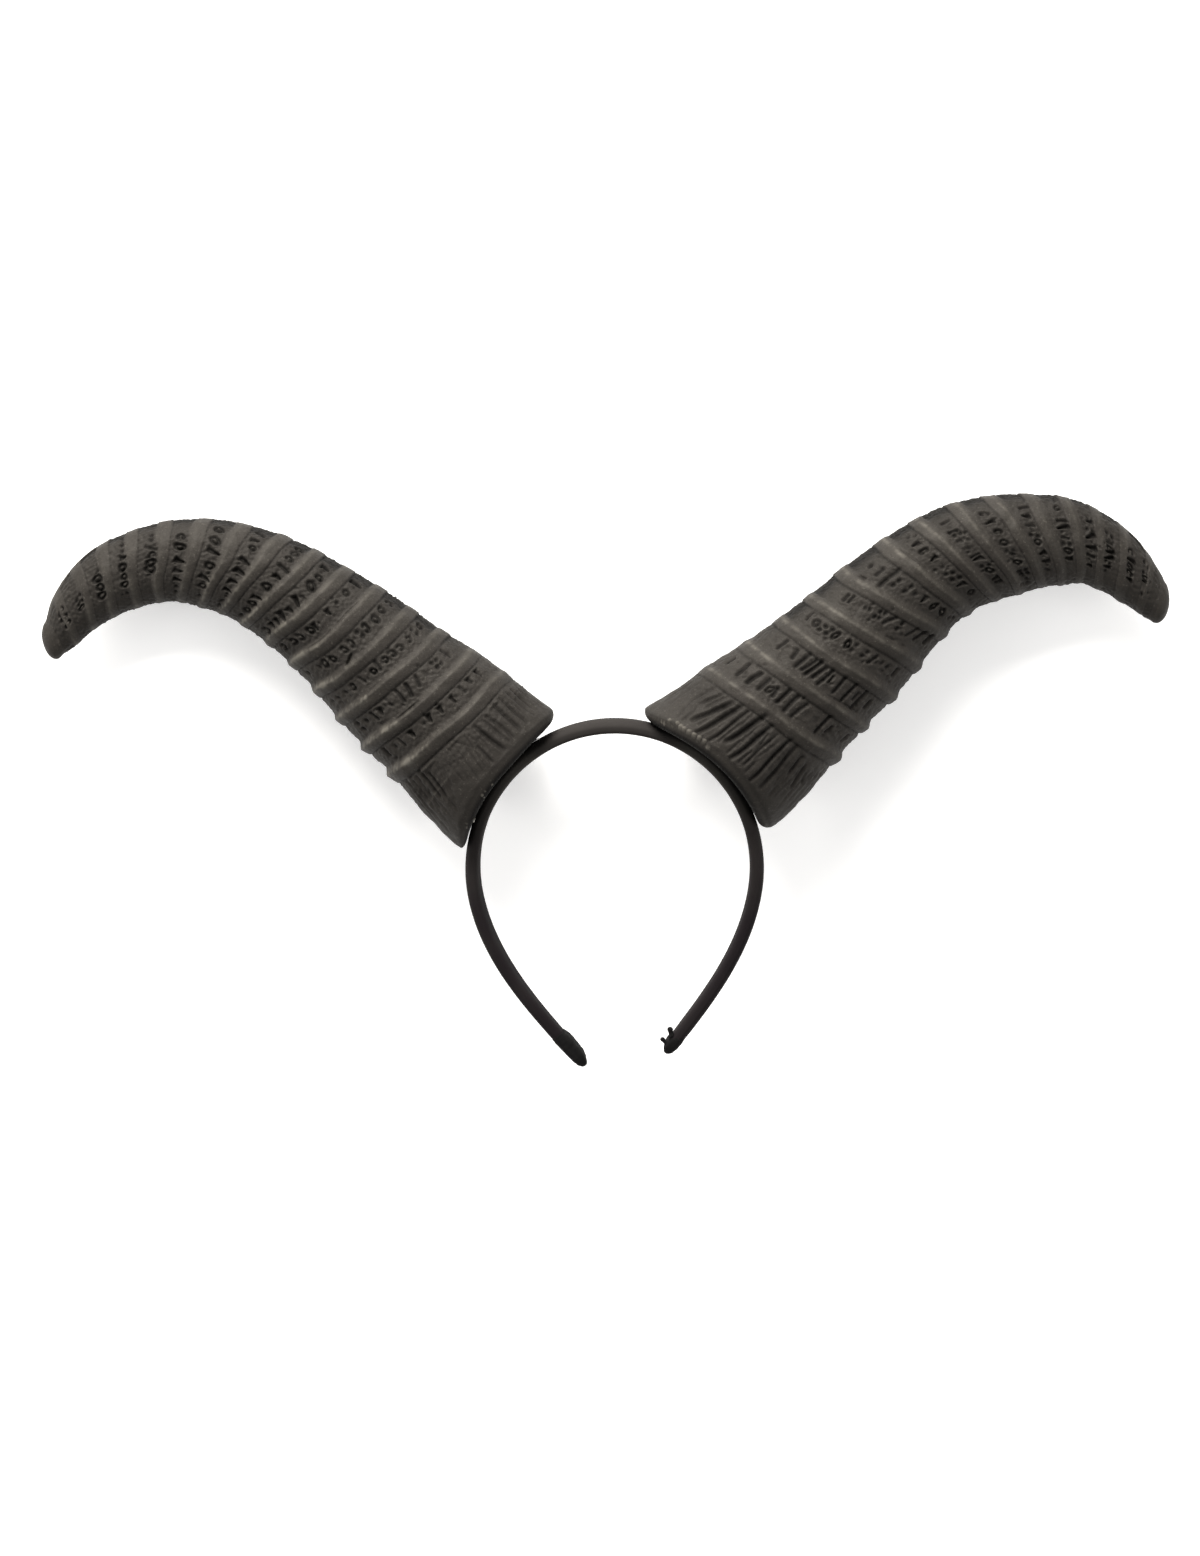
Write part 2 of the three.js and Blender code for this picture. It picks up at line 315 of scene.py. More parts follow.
@dataclass(frozen=True)
class GlueFinish:
    """Set hot-melt glue, milky."""

    colour: Colour = (0.42, 0.4, 0.36)
    roughness: float = 0.35

    def material(self, name: str) -> bpy.types.Material:
        """Make the material.

        Args:
            name: Its name.

        Returns:
            The material.
        """
        graph = Graph(name)
        return graph.surface({"Base Color": (*self.colour, 1.0), "Roughness": self.roughness})


@dataclass(frozen=True)
class FloorFinish:
    """Plain pale floor, lit a little from below."""

    colour: Colour = (0.92, 0.92, 0.92)
    roughness: float = 0.9
    glow: float = 0.3

    def material(self, name: str) -> bpy.types.Material:
        """Make the material.

        Args:
            name: Its name.

        Returns:
            The material.
        """
        graph = Graph(name)
        return graph.surface(
            {
                "Base Color": (*self.colour, 1.0),
                "Roughness": self.roughness,
                "Emission Color": WHITE,
                "Emission Strength": self.glow,
            }
        )


@dataclass(frozen=True)
class Resting:
    """How the worn headband is laid down: a slight turn, then a shift onto the surface."""

    tilt: float = math.radians(0.4)
    roll: float = math.radians(-0.25)
    shift: tuple[float, float, float] = (0.249, -33.483, 29.527)

    def lay(self, points: Numbers) -> Numbers:
        """Take points as worn, in millimetres, to the part's own frame, in metres."""
        turn = Matrix.Rotation(self.tilt, 3, "X") @ Matrix.Rotation(self.roll, 3, "Y")
        return (points @ np.array(turn).T + self.shift) / PER_METRE


RESTING = Resting()


@dataclass(frozen=True)
class Station:
    """One section of a skin that is drawn out: middle, heading, half width and how far along."""

    middle: tuple[float, float, float]
    turn: float
    half: float
    along: float
    share: float = 1.0


@contextmanager
def editing(piece: bpy.types.Object) -> Iterator[bpy.types.Mesh]:
    """Hold one piece in edit mode.

    Args:
        piece: The piece.

    Yields:
        Its mesh.
    """
    bpy.ops.object.select_all(action="DESELECT")
    bpy.context.view_layer.objects.active = piece
    piece.select_set(True)
    bpy.ops.object.mode_set(mode="EDIT")
    yield piece.data
    bpy.ops.object.mode_set(mode="OBJECT")


def note(mesh: bpy.types.Mesh, words: dict[str, float]) -> None:
    """Keep numbers at the selected points of a mesh in edit mode."""
    held = bmesh.from_edit_mesh(mesh)
    for word, number in words.items():
        layer = held.verts.layers.float[word]
        for point in held.verts:
            if point.select:
                point[layer] = number
    bmesh.update_edit_mesh(mesh)


def draw_out(name: str, stations: Sequence[Station], sides: int, crowd: float) -> bpy.types.Object:
    """Draw a closed skin out of a disc, section by section.

    Args:
        name: The piece's name.
        stations: The sections, the first of which is the disc, and the last closes to a point.
        sides: Points round a section.
        crowd: How far the points crowd to the front, from 0 to 1.

    Returns:
        The piece. Its points keep "along" and "share" of their section, and where they are round
        it as "outer" and "front".
    """
    first = stations[0]
    bpy.ops.object.select_all(action="DESELECT")
    bpy.ops.mesh.primitive_circle_add(
        vertices=sides,
        radius=first.half * first.share,
        fill_type="TRIFAN",
        location=first.middle,
        rotation=(math.pi / 2, 0, first.turn),
    )
    piece = bpy.context.object
    piece.name = name
    bpy.ops.object.transform_apply(location=True, rotation=True, scale=True)
    for word in ("along", "share", "outer", "front"):
        piece.data.attributes.new(word, "FLOAT", "POINT")
    with editing(piece) as mesh:
        bpy.ops.mesh.select_all(action="SELECT")
        note(mesh, {"along": first.along})
        bpy.ops.mesh.region_to_loop()
        note(mesh, {"share": first.share})
        held = bmesh.from_edit_mesh(mesh)
        outer = held.verts.layers.float["outer"]
        front = held.verts.layers.float["front"]
        way = Vector((math.cos(first.turn), math.sin(first.turn), 0))
        for point in held.verts:
            if point.select:
                reach = point.co - Vector(first.middle)
                angle = math.atan2(reach.z, reach.dot(way))
                angle += crowd * math.cos(angle)
                point[outer] = math.cos(angle)
                point[front] = math.sin(angle)
        bmesh.update_edit_mesh(mesh)
        for before, station in zip(stations, stations[1:]):
            step = Vector(station.middle) - Vector(before.middle)
            bpy.ops.mesh.extrude_region_move(TRANSFORM_OT_translate={"value": step})
            bpy.ops.transform.rotate(
                value=before.turn - station.turn,
                orient_axis="Z",
                center_override=station.middle,
            )
            grow = station.half * station.share / (before.half * before.share)
            bpy.ops.transform.resize(value=(grow,) * 3, center_override=station.middle)
            note(mesh, {"along": station.along, "share": station.share})
        bpy.ops.mesh.merge(type="CENTER")
        bpy.ops.mesh.select_all(action="SELECT")
        bpy.ops.mesh.normals_make_consistent(inside=False)
    return piece


def refine(piece: bpy.types.Object, levels: int) -> None:
    """Split every face of a piece evenly, so many times over."""
    cut = piece.modifiers.new("refine", "SUBSURF")
    cut.subdivision_type = "SIMPLE"
    cut.levels = levels
    cut.render_levels = levels
    bpy.context.view_layer.objects.active = piece
    bpy.ops.object.modifier_apply(modifier=cut.name)


def kept(piece: bpy.types.Object, word: str) -> Numbers:
    """Numbers kept at the points of a piece."""
    values = np.zeros(len(piece.data.vertices), np.float32)
    piece.data.attributes[word].data.foreach_get("value", values)
    return values.astype(float)


def keep(piece: bpy.types.Object, word: str, values: Numbers) -> None:
    """Keep numbers at the points of a piece."""
    found = piece.data.attributes.get(word) or piece.data.attributes.new(word, "FLOAT", "POINT")
    found.data.foreach_set("value", values.astype(np.float32))


def places(piece: bpy.types.Object) -> tuple[Numbers, Numbers, Numbers]:
    """Where a drawn-out piece's points are: along it, as a share of a section, and round it."""
    angle = np.arctan2(kept(piece, "front"), kept(piece, "outer"))
    return kept(piece, "along"), kept(piece, "share"), angle


def settle(piece: bpy.types.Object, points: Numbers) -> Numbers:
    """Move a piece's points to places as worn.

    Args:
        piece: The piece.
        points: A place for each point, in millimetres.

    Returns:
        The points' normals, in the part's own frame, which lies within a degree of the worn one.
    """
    mesh = piece.data
    mesh.vertices.foreach_set("co", RESTING.lay(points).astype(np.float32).ravel())
    mesh.update()
    normals = np.zeros(len(mesh.vertices) * 3, np.float32)
    mesh.vertex_normals.foreach_get("vector", normals)
    return normals.reshape(-1, 3).astype(float)


def blurred(piece: bpy.types.Object, values: Numbers, rounds: int) -> Numbers:
    """Average numbers with those at neighbouring points, so many times over."""
    mesh = piece.data
    ends = np.zeros(len(mesh.edges) * 2, np.int32)
    mesh.edges.foreach_get("vertices", ends)
    ends = ends.reshape(-1, 2)
    count = len(values)
    met = np.bincount(ends.ravel(), minlength=count)
    result = values
    for _ in range(rounds):
        total = np.bincount(ends[:, 0], result[ends[:, 1]], count)
        total += np.bincount(ends[:, 1], result[ends[:, 0]], count)
        result = (result + total) / (1 + met)
    return result


def eased(low: float, high: float, values: Numbers) -> Numbers:
    """Ease from 0 at the low value to 1 at the high one."""
    share = np.clip((values - low) / (high - low), 0, 1)
    return share * share * (3 - 2 * share)


def bell(values: Numbers, reach: Numbers | float = 1.0) -> Numbers:
    """A soft bell, 1 at zero, that falls off over a reach."""
    return np.exp(-((values / reach) ** 2))


def turned_from(start: float, angle: Numbers) -> Numbers:
    """The shorter way round from one angle to others."""
    return (angle - start + math.pi) % (2 * math.pi) - math.pi


@dataclass(frozen=True)
class Unevenness:
    """Soft lumps through space, a sum of waves.

    Millimetres from lump to lump, how high they stand, how many waves make them, and the share of
    the height that one wave has.
    """

    size: float
    height: float
    waves: int = 14
    wave_share: float = 0.25

    def over(self, points: Numbers, chance: np.random.Generator) -> Numbers:
        """Heights of the lumps, above zero and below it.

        Args:
            points: Places, in millimetres.
            chance: Where the waves are drawn from.

        Returns:
            A height for each place.
        """
        total = np.zeros(len(points))
        for _ in range(self.waves):
            way = chance.normal(0, 1, 3)
            way *= 2 * math.pi / self.size * chance.uniform(0.6, 1.5) / np.linalg.norm(way)
            total += np.sin(points @ way + chance.uniform(0, 2 * math.pi))
        return self.height * self.wave_share * total


def curve_through(rows: Numbers, at: Numbers) -> Numbers:
    """Read a smooth curve through the rows of a table.

    Args:
        rows: The table.
        at: Places on the curve, counted in rows.

    Returns:
        A row for each place.
    """
    ends = np.vstack([2 * rows[0] - rows[1], rows, 2 * rows[-1] - rows[-2]])
    cell = np.clip(np.floor(at).astype(int), 0, len(rows) - 2)
    w = (at - cell)[:, None]
    a, b, c, d = (ends[cell + k] for k in range(4))
    return b + 0.5 * w * (c - a + w * (2 * a - 5 * b + 4 * c - d + w * (3 * (b - c) + d - a)))


def join(piece: bpy.types.Object, others: Sequence[bpy.types.Object]) -> None:
    """Join other pieces to a piece, if there are any."""
    bpy.ops.object.select_all(action="DESELECT")
    for other in others:
        other.select_set(True)
    piece.select_set(True)
    bpy.context.view_layer.objects.active = piece
    if others:
        bpy.ops.object.join()


def finish_piece(piece: bpy.types.Object, node: str, look: bpy.types.Material) -> None:
    """Dress a finished piece and hand it to the frame.

    Args:
        piece: The piece.
        node: The solid that it stands for.
        look: Its material.
    """
    piece.data.materials.clear()
    piece.data.materials.append(look)
    bpy.ops.object.select_all(action="DESELECT")
    bpy.context.view_layer.objects.active = piece
    piece.select_set(True)
    bpy.ops.object.shade_smooth()
    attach(piece, BODY)
    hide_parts(node)
    piece.data.calc_loop_triangles()
    LOG.info("%s: %d triangles", piece.name, len(piece.data.loop_triangles))


@dataclass(frozen=True)
class Ring:
    """A ring of a horn in the horns' plane.

    Its middle, out from the centre plane and up from the crown's centre, its width across, the
    angle of its line in degrees and the height of its rib. The rib is shifted to the tip by shares
    of a ring: on the outer curve, in front and on the inner curve.
    """

    out: float
    up: float
    across: float
    angle: float
    rib: float
    outer: float = 0.0
    front: float = 0.0
    inner: float = 0.0


@dataclass(frozen=True)
class Press:
    """How a mark is pressed in: half its width, half its length, its lean and its depth."""

    wide: float
    long: float
    lean: float
    depth: float


PRESSES = {
    Mark.LOOP: Press(1.6, 2.2, 0.0, 1.2),
    Mark.WIDE_LOOP: Press(1.9, 2.8, 0.35, 1.4),
    Mark.OPEN_LOOP: Press(1.6, 2.2, 0.0, 1.1),
    Mark.TICK: Press(0.8, 2.7, 0.0, 1.0),
    Mark.STROKE: Press(1.0, 5.2, 0.0, 1.2),
    Mark.RISING: Press(0.9, 3.5, -0.3, 1.1),
    Mark.FALLING: Press(0.9, 3.5, 0.3, 1.1),
    Mark.DOT: Press(1.05, 1.15, 0.0, 1.0),
    Mark.PAIR: Press(1.1, 2.5, -0.2, 1.2),
    Mark.PIT: Press(1.3, 2.4, 0.1, 1.6),
    Mark.LONG_PIT: Press(1.4, 3.6, 0.3, 1.9),
    Mark.SMUDGE: Press(2.0, 2.2, 0.0, 0.5),
    Mark.SPECK: Press(0.75, 0.9, 0.0, 0.6),
}


@dataclass(frozen=True)
class Furrow:
    """Marks of one furrow.

    Where they run, counted in rings from the base, their signs as seen from the front, from the
    horn's outer curve to its inner one, and how far the row climbs on the way.
    """

    at: float
    signs: str
    climb: float = 0.0


@dataclass(frozen=True)
class Score:
    """A line scored into a horn: its ends, as angles round it and rings along it, width and depth."""

    start: tuple[float, float]
    stop: tuple[float, float]
    width: float
    depth: float


@dataclass(frozen=True)
class Groove:
    """A groove of the collar or a crack in a rib, or a ridge if its depth is below zero.

    Its ends are places across the front, 0 on the outer curve and 1 on the inner one, and places
    along the horn, counted in rings.
    """

    start: tuple[float, float]
    stop: tuple[float, float]
    width: float
    depth: float

    def score(self) -> Score:
        """The groove as a line scored into the horn's front."""
        ends = [(math.acos(1 - 2 * across), along) for across, along in (self.start, self.stop)]
        return Score(ends[0], ends[1], self.width, self.depth)


@dataclass(frozen=True)
class Drop:
    """A drop of set glue on the edge of the base.

    Its place across the front, 0 on the outer curve and 1 on the inner one, how far up the collar
    it is in rings, or under the edge if below zero, as a share of the base, its size, how pale it
    is, and how far it bulges for its size.
    """

    across: float
    up: float
    size: float
    pale: float
    bulge: float = 0.4


@dataclass(frozen=True)
class Skin:
    """Where the points of a horn's skin are, and what its ribs do there.

    Places along the horn, counted in rings, and the same as its wavering ribs count them, shares
    of the base's width, angles round the horn, points of the smooth form, millimetres from ring to
    ring and to the radian, the full height of the ribs and the share of it that they reach.
    """

    along: Numbers
    phase: Numbers
    share: Numbers
    angle: Numbers
    smooth: Numbers
    spacing: Numbers
    girth: Numbers
    height: Numbers
    ribs: Numbers
    least_rib: float = 0.05

    @property
    def outer(self) -> Numbers:
        """Places round the horn, 1 on its outer curve."""
        return np.cos(self.angle)

    @property
    def front(self) -> Numbers:
        """Places round the horn, 1 at the front."""
        return np.sin(self.angle)

    @property
    def ribbed(self) -> Numbers:
        """Where there are ribs."""
        return self.height > self.least_rib

    @property
    def furrow(self) -> Numbers:
        """How far down between two ribs, as a share."""
        return (1 - eased(0.1, 0.5, self.ribs)) * self.ribbed

    def line(self, back: float, reach: float) -> Numbers:
        """A soft line along each rib, so far behind its place and so wide, in shares of a ring."""
        off = (self.phase + back + 0.5) % 1 - 0.5
        return bell(off, reach) * self.ribbed


@dataclass(frozen=True)
class Relief:
    """How the horns' skin is carved, in millimetres, angles in radians."""

    # Grooves are cut deeper than they are charted.
    groove_gain: float = 1.25
    # Furrows sink at their ends, beside the outer curve.
    sink_depth: float = 0.6
    sink_angle: float = 0.22
    sink_reach: float = 0.26
    # What is pressed in pushes up a rim beside it, spread over so many rounds.
    rim_rounds: int = 8
    broad_lumps: Unevenness = Unevenness(9.0, 0.14)
    fine_lumps: Unevenness = Unevenness(3.0, 0.04)
    furrow_lumps: Unevenness = Unevenness(2.2, 0.13)
    # The back keeps clear of what the horn lies on.
    back_clear: float = 0.2
    # The relief begins within this part of a ring above the base's edge.
    foot: float = 0.1


@dataclass(frozen=True)
class Tint:
    """How pale and how dark the horns' skin is, as shares: painted highlights, partly dry-brushed wear, and
    painted shade.

    Reaches are in shares of a ring, and depths in millimetres.
    """

    # Pale rib edges, partly dry-brushed wear and partly a painted highlight, and painted light on the backs
    # of the ribs on the side that faces the light.
    edge: float = 0.28
    edge_reach: float = 0.04
    lit_side_reach: float = 0.05
    lit_rib_back: float = 0.12
    broad_patches: Unevenness = Unevenness(8.0, 1.0)
    fine_patches: Unevenness = Unevenness(2.5, 0.6)
    # High up, edges and creases grow faint.
    faint: float = 0.7
    # Painted shade in marks, beyond the least depth that shows, and in grooves, with the depths of the
    # darkest.
    mark: float = 0.8
    mark_least: float = 0.25
    mark_depth: float = 0.6
    groove_depth: float = 1.7
    # Painted shade in creases and furrows, deeper in the horn's middle and above.
    crease: float = 0.33
    crease_reach: float = 0.035
    furrow: float = 0.12
    high_furrow: float = 0.2
    # A darker collar, painted shade at its foot, the most that all of these come to, and painted shade over
    # the hidden base.
    collar: float = 0.13
    foot: float = 0.3
    most: float = 0.82
    base: float = 0.95


# Columns of a horn's table. Its middle is in the first two, and its rib's shifts in the last three.
ACROSS = 2
ANGLE = 3
RIB = 4
SHIFTS = slice(5, 8)

# A short way along or round a horn, to measure by.
NUDGE = 0.02


@dataclass
class Horn:
    """One ribbed horn of foam, on its seat round the headband.

    The outer corner of its base lifts off the headband, and the inner one sinks to it. Each rib
    runs back to a crease and forward down a slope, both in shares of a ring. Its edges carry a
    painted highlight, stronger on the side that faces the light.
    """

    side: Side
    rings: tuple[Ring, ...]
    seat_across: float
    furrows: tuple[Furrow, ...]
    grooves: tuple[Groove, ...]
    drops: tuple[Drop, ...]
    corner_lift: float
    corner_sink: float
    crease: float
    slope: float
    # How strong the painted highlight is on the side of the ribs that faces the light.
    lit_side_highlight: float
    seed: int
    seat_radius: float = 63.35
    depth_share: float = 0.8
    sweep: float = math.radians(8)
    sweep_line: float = 43.0
    collar_rows: float = 2.0
    edge_lift: float = 4.4
    edge_swell: float = 0.2
    edge_share: float = 0.87
    rib_side: float = 0.45
    rib_front: float = 0.45
    rib_inner: float = 0.65
    rib_inner_rows: float = 7.0
    rib_outer: float = 0.18
    rib_plain: float = 0.75
    rib_floor: float = 0.12
    rib_bulge: float = 0.55
    slope_growth: float = 0.6
    crease_cut: float = 0.18
    crease_reach: float = 0.03
    lip: float = 0.08
    waves: int = 5
    waver: tuple[float, float] = (0.07, 0.25)
    least_spacing: float = 4.0
    corner: tuple[float, float] = (0.02, 0.04)
    corner_rows: float = 0.4
    tip_cap: float = 6.5
    base_sections: tuple[float, ...] = (0.5, 0.87, 0.94)
    collar_sections: tuple[float, ...] = (0.0, 0.2, 0.45, 0.75, 1.05, 1.35)
    rib_sections: tuple[float, ...] = (-0.37, -0.2, -0.04, 0.14, 0.38)
    tip_sections: tuple[float, ...] = (-0.2, 0.1, 0.4, 0.7, 0.9, 1)
    sides: int = 30
    crowd: float = 0.52
    relief: Relief = Relief()
    tint: Tint = Tint()

    def __post_init__(self) -> None:
        """Turn the rings into one table and start the horn's own chance."""
        self.table = np.array(
            [
                [r.out, r.up, r.across, math.radians(r.angle), r.rib, r.outer, r.front, r.inner]
                for r in self.rings
            ]
        )
        self.last = len(self.rings) - 1
        self.chance = np.random.default_rng(self.seed)

    def row(self, along: Numbers) -> Numbers:
        """Rows of the horn's table at places counted in rings."""
        return curve_through(self.table, np.clip(along, 0, self.last))

    def section(self, middle: Numbers, angle: Numbers, half: Numbers, c: Numbers, s: Numbers) -> Numbers:
        """Points of sections across the horn, leaned back.

        Args:
            middle: Middles of the sections in the horns' plane.
            angle: Angles of their lines.
            half: Half their widths.
            c: Places round them, 1 on the outer curve of the horn.
            s: Places round them, 1 at the front.

        Returns:
            The points as worn.
        """
        sign = self.side.value
        x = sign * (middle[..., 0] - np.cos(angle) * c * half)
        y = middle[..., 1] + np.sin(angle) * c * half - self.sweep_line
        z = s * half * self.depth_share
        lean = (math.cos(self.sweep), math.sin(self.sweep))
        back = self.sweep_line + y * lean[0] + z * lean[1]
        return np.stack([x, back, z * lean[0] - y * lean[1]], axis=-1)

    def seat(self, c: Numbers, s: Numbers, share: Numbers) -> Numbers:
        """Points of the hollowed base, out to its rounded edge.

        Args:
            c: Places round the base, 1 on the outer curve of the horn.
            s: Places round the base, 1 at the front.
            share: Shares of the base's width.

        Returns:
            The points as worn.
        """
        k = np.clip((share - self.edge_share) / (1 - self.edge_share), 0, 1)
        lift = self.edge_lift * (1 + self.edge_swell * s * s) * (1 - np.sqrt(1 - k * k))
        lift = lift * (1 - self.corner_sink * eased(0.5, 0.95, -c * share))
        lift = lift + self.corner_lift * eased(0.2, 1.1, c * share)
        turn = SEAT_TURNS[self.side] - c * share * self.seat_across / 2 / self.seat_radius
        x = self.side.value * np.sin(turn) * (self.seat_radius + lift)
        y = np.cos(turn) * (self.seat_radius + lift)
        y = np.where(y > 0, y * CROWN_RISE, y)
        z = s * share * self.table[0, ACROSS] * self.depth_share / 2
        return np.stack([x, y, z], axis=-1)

    def form(self, along: Numbers, c: Numbers, s: Numbers, share: Numbers) -> Numbers:
        """Points of the smooth horn at the height of its ribs.

        Args:
            along: Places from the base, counted in rings, and one more for the tip's cap.
            c: Places round the horn, 1 on its outer curve.
            s: Places round the horn, 1 at the front.
            share: Shares of the base's width, 1 outside the base.

        Returns:
            The points as worn.
        """
        round_off = np.where(c > 0, *self.corner) * np.clip(1 - along / self.corner_rows, 0, 1) ** 2
        c = c * (1 - round_off)
        row = self.row(along)
        cap = np.clip(along - self.last, 0, 1) * math.pi / 2
        way = self.table[-1, :2] - self.table[-2, :2]
        ahead = np.sin(cap)[:, None] * self.tip_cap * way / np.linalg.norm(way)
        half = row[:, ACROSS] / 2 * np.cos(cap)
        body = self.section(row[:, :2] + ahead, row[:, ANGLE], half, c, s)
        start = self.table[0]
        flat = self.section(start[:2], start[ANGLE], start[ACROSS] / 2, c, s)
        bend = np.clip(1 - along / self.collar_rows, 0, 1) ** 2
        body += (self.seat(c, s, np.ones_like(share)) - flat) * bend[:, None]
        return np.where((share < 1)[:, None], self.seat(c, s, share), body)

    def block_out(self) -> bpy.types.Object:
        """Draw the horn out of its base, section by section, up to its tip."""
        ribs = [ring + k for ring in range(2, self.last) for k in self.rib_sections]
        steps = [*self.collar_sections, *ribs, *(self.last + k for k in self.tip_sections)]
        sign = self.side.value
        made = []
        for along, row in zip(steps, self.row(np.array(steps))):
            middle = self.section(row[:2], row[ANGLE], row[ACROSS] / 2, 0.0, 0.0)
            turn = row[ANGLE] if sign < 0 else math.pi - row[ANGLE]
            cap = max(math.cos(max(along - self.last, 0) * math.pi / 2), 0.01)
            spot = tuple(RESTING.lay(middle))
            made.append(Station(spot, turn, row[ACROSS] / 2 / PER_METRE * cap, along))
        foot = made[0]
        base = [Station(foot.middle, foot.turn, foot.half, 0.0, k) for k in self.base_sections]
        return draw_out(f"{self.side.word}_ribbed_horn", [*base, *made], self.sides, self.crowd)

    def phase(self, along: Numbers, angle: Numbers, spacing: Numbers) -> Numbers:
        """Places along the horn as its wavering ribs count them.

        Args:
            along: Places from the base, counted in rings.
            angle: Places round the horn.
            spacing: Millimetres from ring to ring there.

        Returns:
            The places, shifted where the ribs bow and waver.
        """
        outer, front, inner = self.row(along)[:, SHIFTS].T
        u = (1 - np.cos(angle)) / 2
        bow = outer * (1 - u) * (1 - 2 * u) + 4 * front * u * (1 - u) + inner * u * (2 * u - 1)
        bow = np.where(np.sin(angle) > 0, bow, outer * (1 - u) + inner * u)
        shift = np.zeros_like(along)
        turns = self.chance.uniform(0, 2 * math.pi, (self.last + 3, self.waves))
        sizes = self.chance.uniform(*self.waver, (self.last + 3, self.waves))
        low = np.clip(np.floor(along).astype(int), 0, self.last + 1)
        part = eased(0.0, 1.0, along - low)
        for k in range(self.waves):
            wave = [sizes[low + j, k] * np.sin((k + 2) * angle + turns[low + j, k]) for j in (0, 1)]
            shift += wave[0] * (1 - part) + wave[1] * part
        return along - bow + shift / spacing

    def rib_share(self, phase: Numbers) -> Numbers:
        """Height of the ribs as a share.

        Args:
            phase: Places along the horn, counted in ribs.

        Returns:
            The height: a round back to the base, a short slope to the tip, and a level furrow.
        """
        off = (phase + self.crease) % 1 - self.crease
        back = np.clip((off + self.crease) / (self.crease - self.lip), 0, 1)
        rise = self.rib_floor + (1 - self.rib_floor) * back**self.rib_bulge
        slope = self.slope * (1 + self.slope_growth * np.clip(phase / 10, 0, 1))
        past = off + self.lip
        level = self.rib_floor * np.clip((past - slope) / 0.4, 0, 1)
        fall = np.maximum(1 - eased(0.0, 1.0, past / slope), level)
        gap = np.minimum(np.abs(off + self.crease), np.abs(off + self.crease - 1))
        return np.where(past < 0, rise, fall) - self.crease_cut * bell(gap, self.crease_reach)

    def rib_height(self, along: Numbers, c: Numbers, s: Numbers) -> Numbers:
        """Full height of the ribs.

        Args:
            along: Places from the base, counted in rings.
            c: Places round the horn, 1 on its outer curve.
            s: Places round the horn, 1 at the front.

        Returns:
            The height in millimetres, most in front and low on the inner curve, and least high up
            on the outer curve.
        """
        low = np.clip(1 - (along - self.collar_rows) / self.rib_inner_rows, 0, 1)
        inner = self.rib_inner * np.clip(-c, 0, 1) * low
        outer = self.rib_outer * np.clip(c, 0, 1)
        height = self.row(along)[:, RIB] * (self.rib_side + self.rib_front * s * s + inner - outer)
        return height * (1 - self.rib_plain * eased(0.2, 0.9, c) * eased(8.0, 12.0, along))

    def skin(self, piece: bpy.types.Object) -> Skin:
        """Find where the points of the drawn-out skin are.

        Args:
            piece: The refined skin.

        Returns:
            Their places.
        """
        along, share, angle = places(piece)
        c, s = np.cos(angle), np.sin(angle)
        whole = np.ones_like(share)
        here = self.form(along, c, s, whole)
        ahead = self.form(along + NUDGE, c, s, whole)
        beside = self.form(along, np.cos(angle + NUDGE), np.sin(angle + NUDGE), whole)
        spacing = np.maximum(np.linalg.norm(ahead - here, axis=1) / NUDGE, self.least_spacing)
        phase = self.phase(along, angle, spacing)
        return Skin(
            along=along,
            phase=phase,
            share=share,
            angle=angle,
            smooth=self.form(along, c, s, share),
            spacing=spacing,
            girth=np.linalg.norm(beside - here, axis=1) / NUDGE,
            height=self.rib_height(along, c, s),
            ribs=self.rib_share(phase),
        )

    @staticmethod
    def press(mark: Mark, x: Numbers, y: Numbers) -> Numbers:
        """Depth of one mark, as a share.

        Args:
            mark: The kind of mark.
            x: Places across it, in half widths, towards the inner curve.
            y: Places along it, in half lengths, towards the tip.

        Returns:
            The depth.
        """
        reach = np.hypot(x, y)
        if mark in (Mark.LOOP, Mark.WIDE_LOOP, Mark.OPEN_LOOP):
            line = bell(reach - 0.7, 0.34)
            gap = bell(np.arctan2(y, x), 0.7)
            return line * (1 - gap) if mark is Mark.OPEN_LOOP else line
        if mark in (Mark.PIT, Mark.LONG_PIT):
            taper = np.clip(0.65 + 0.4 * y, 0.3, 1)
            return bell(x, taper) * eased(-1.05, -0.6, y) * (1 - eased(0.7, 1.05, y))
        if mark is Mark.PAIR:
            return bell(x) * bell(np.abs(y) - 0.6, 0.42)
        if mark in (Mark.DOT, Mark.SMUDGE, Mark.SPECK):
            return bell(reach)
        return bell(x) * eased(-1.1, -0.75, y) * (1 - eased(0.75, 1.1, y))

    def drawn(self, furrow: Furrow) -> list[tuple[float, Mark]]:
        """Angles and kinds of the marks in one furrow, drawn in front and strewn behind.

        Args:
            furrow: The furrow.

        Returns:
            An angle and a kind for each mark.
        """
        count = len(furrow.signs)
        front = [(k, Mark(sign)) for k, sign in enumerate(furrow.signs) if sign != " "]
        made = [(math.acos(1 - 2 * (k + 0.5) / count), mark) for k, mark in front]
        spots = np.arange(len(front)) + self.chance.uniform(0.2, 0.8, len(front))
        picks = self.chance.integers(0, len(front), len(front))
        made += [(math.pi * (1 + s / len(front)), front[k][1]) for s, k in zip(spots, picks)]
        low, high = made[0][0], made[len(front) - 1][0]
        made += [(turn, Mark.SPECK) for turn in self.chance.uniform(low, high, len(front))]
        return made

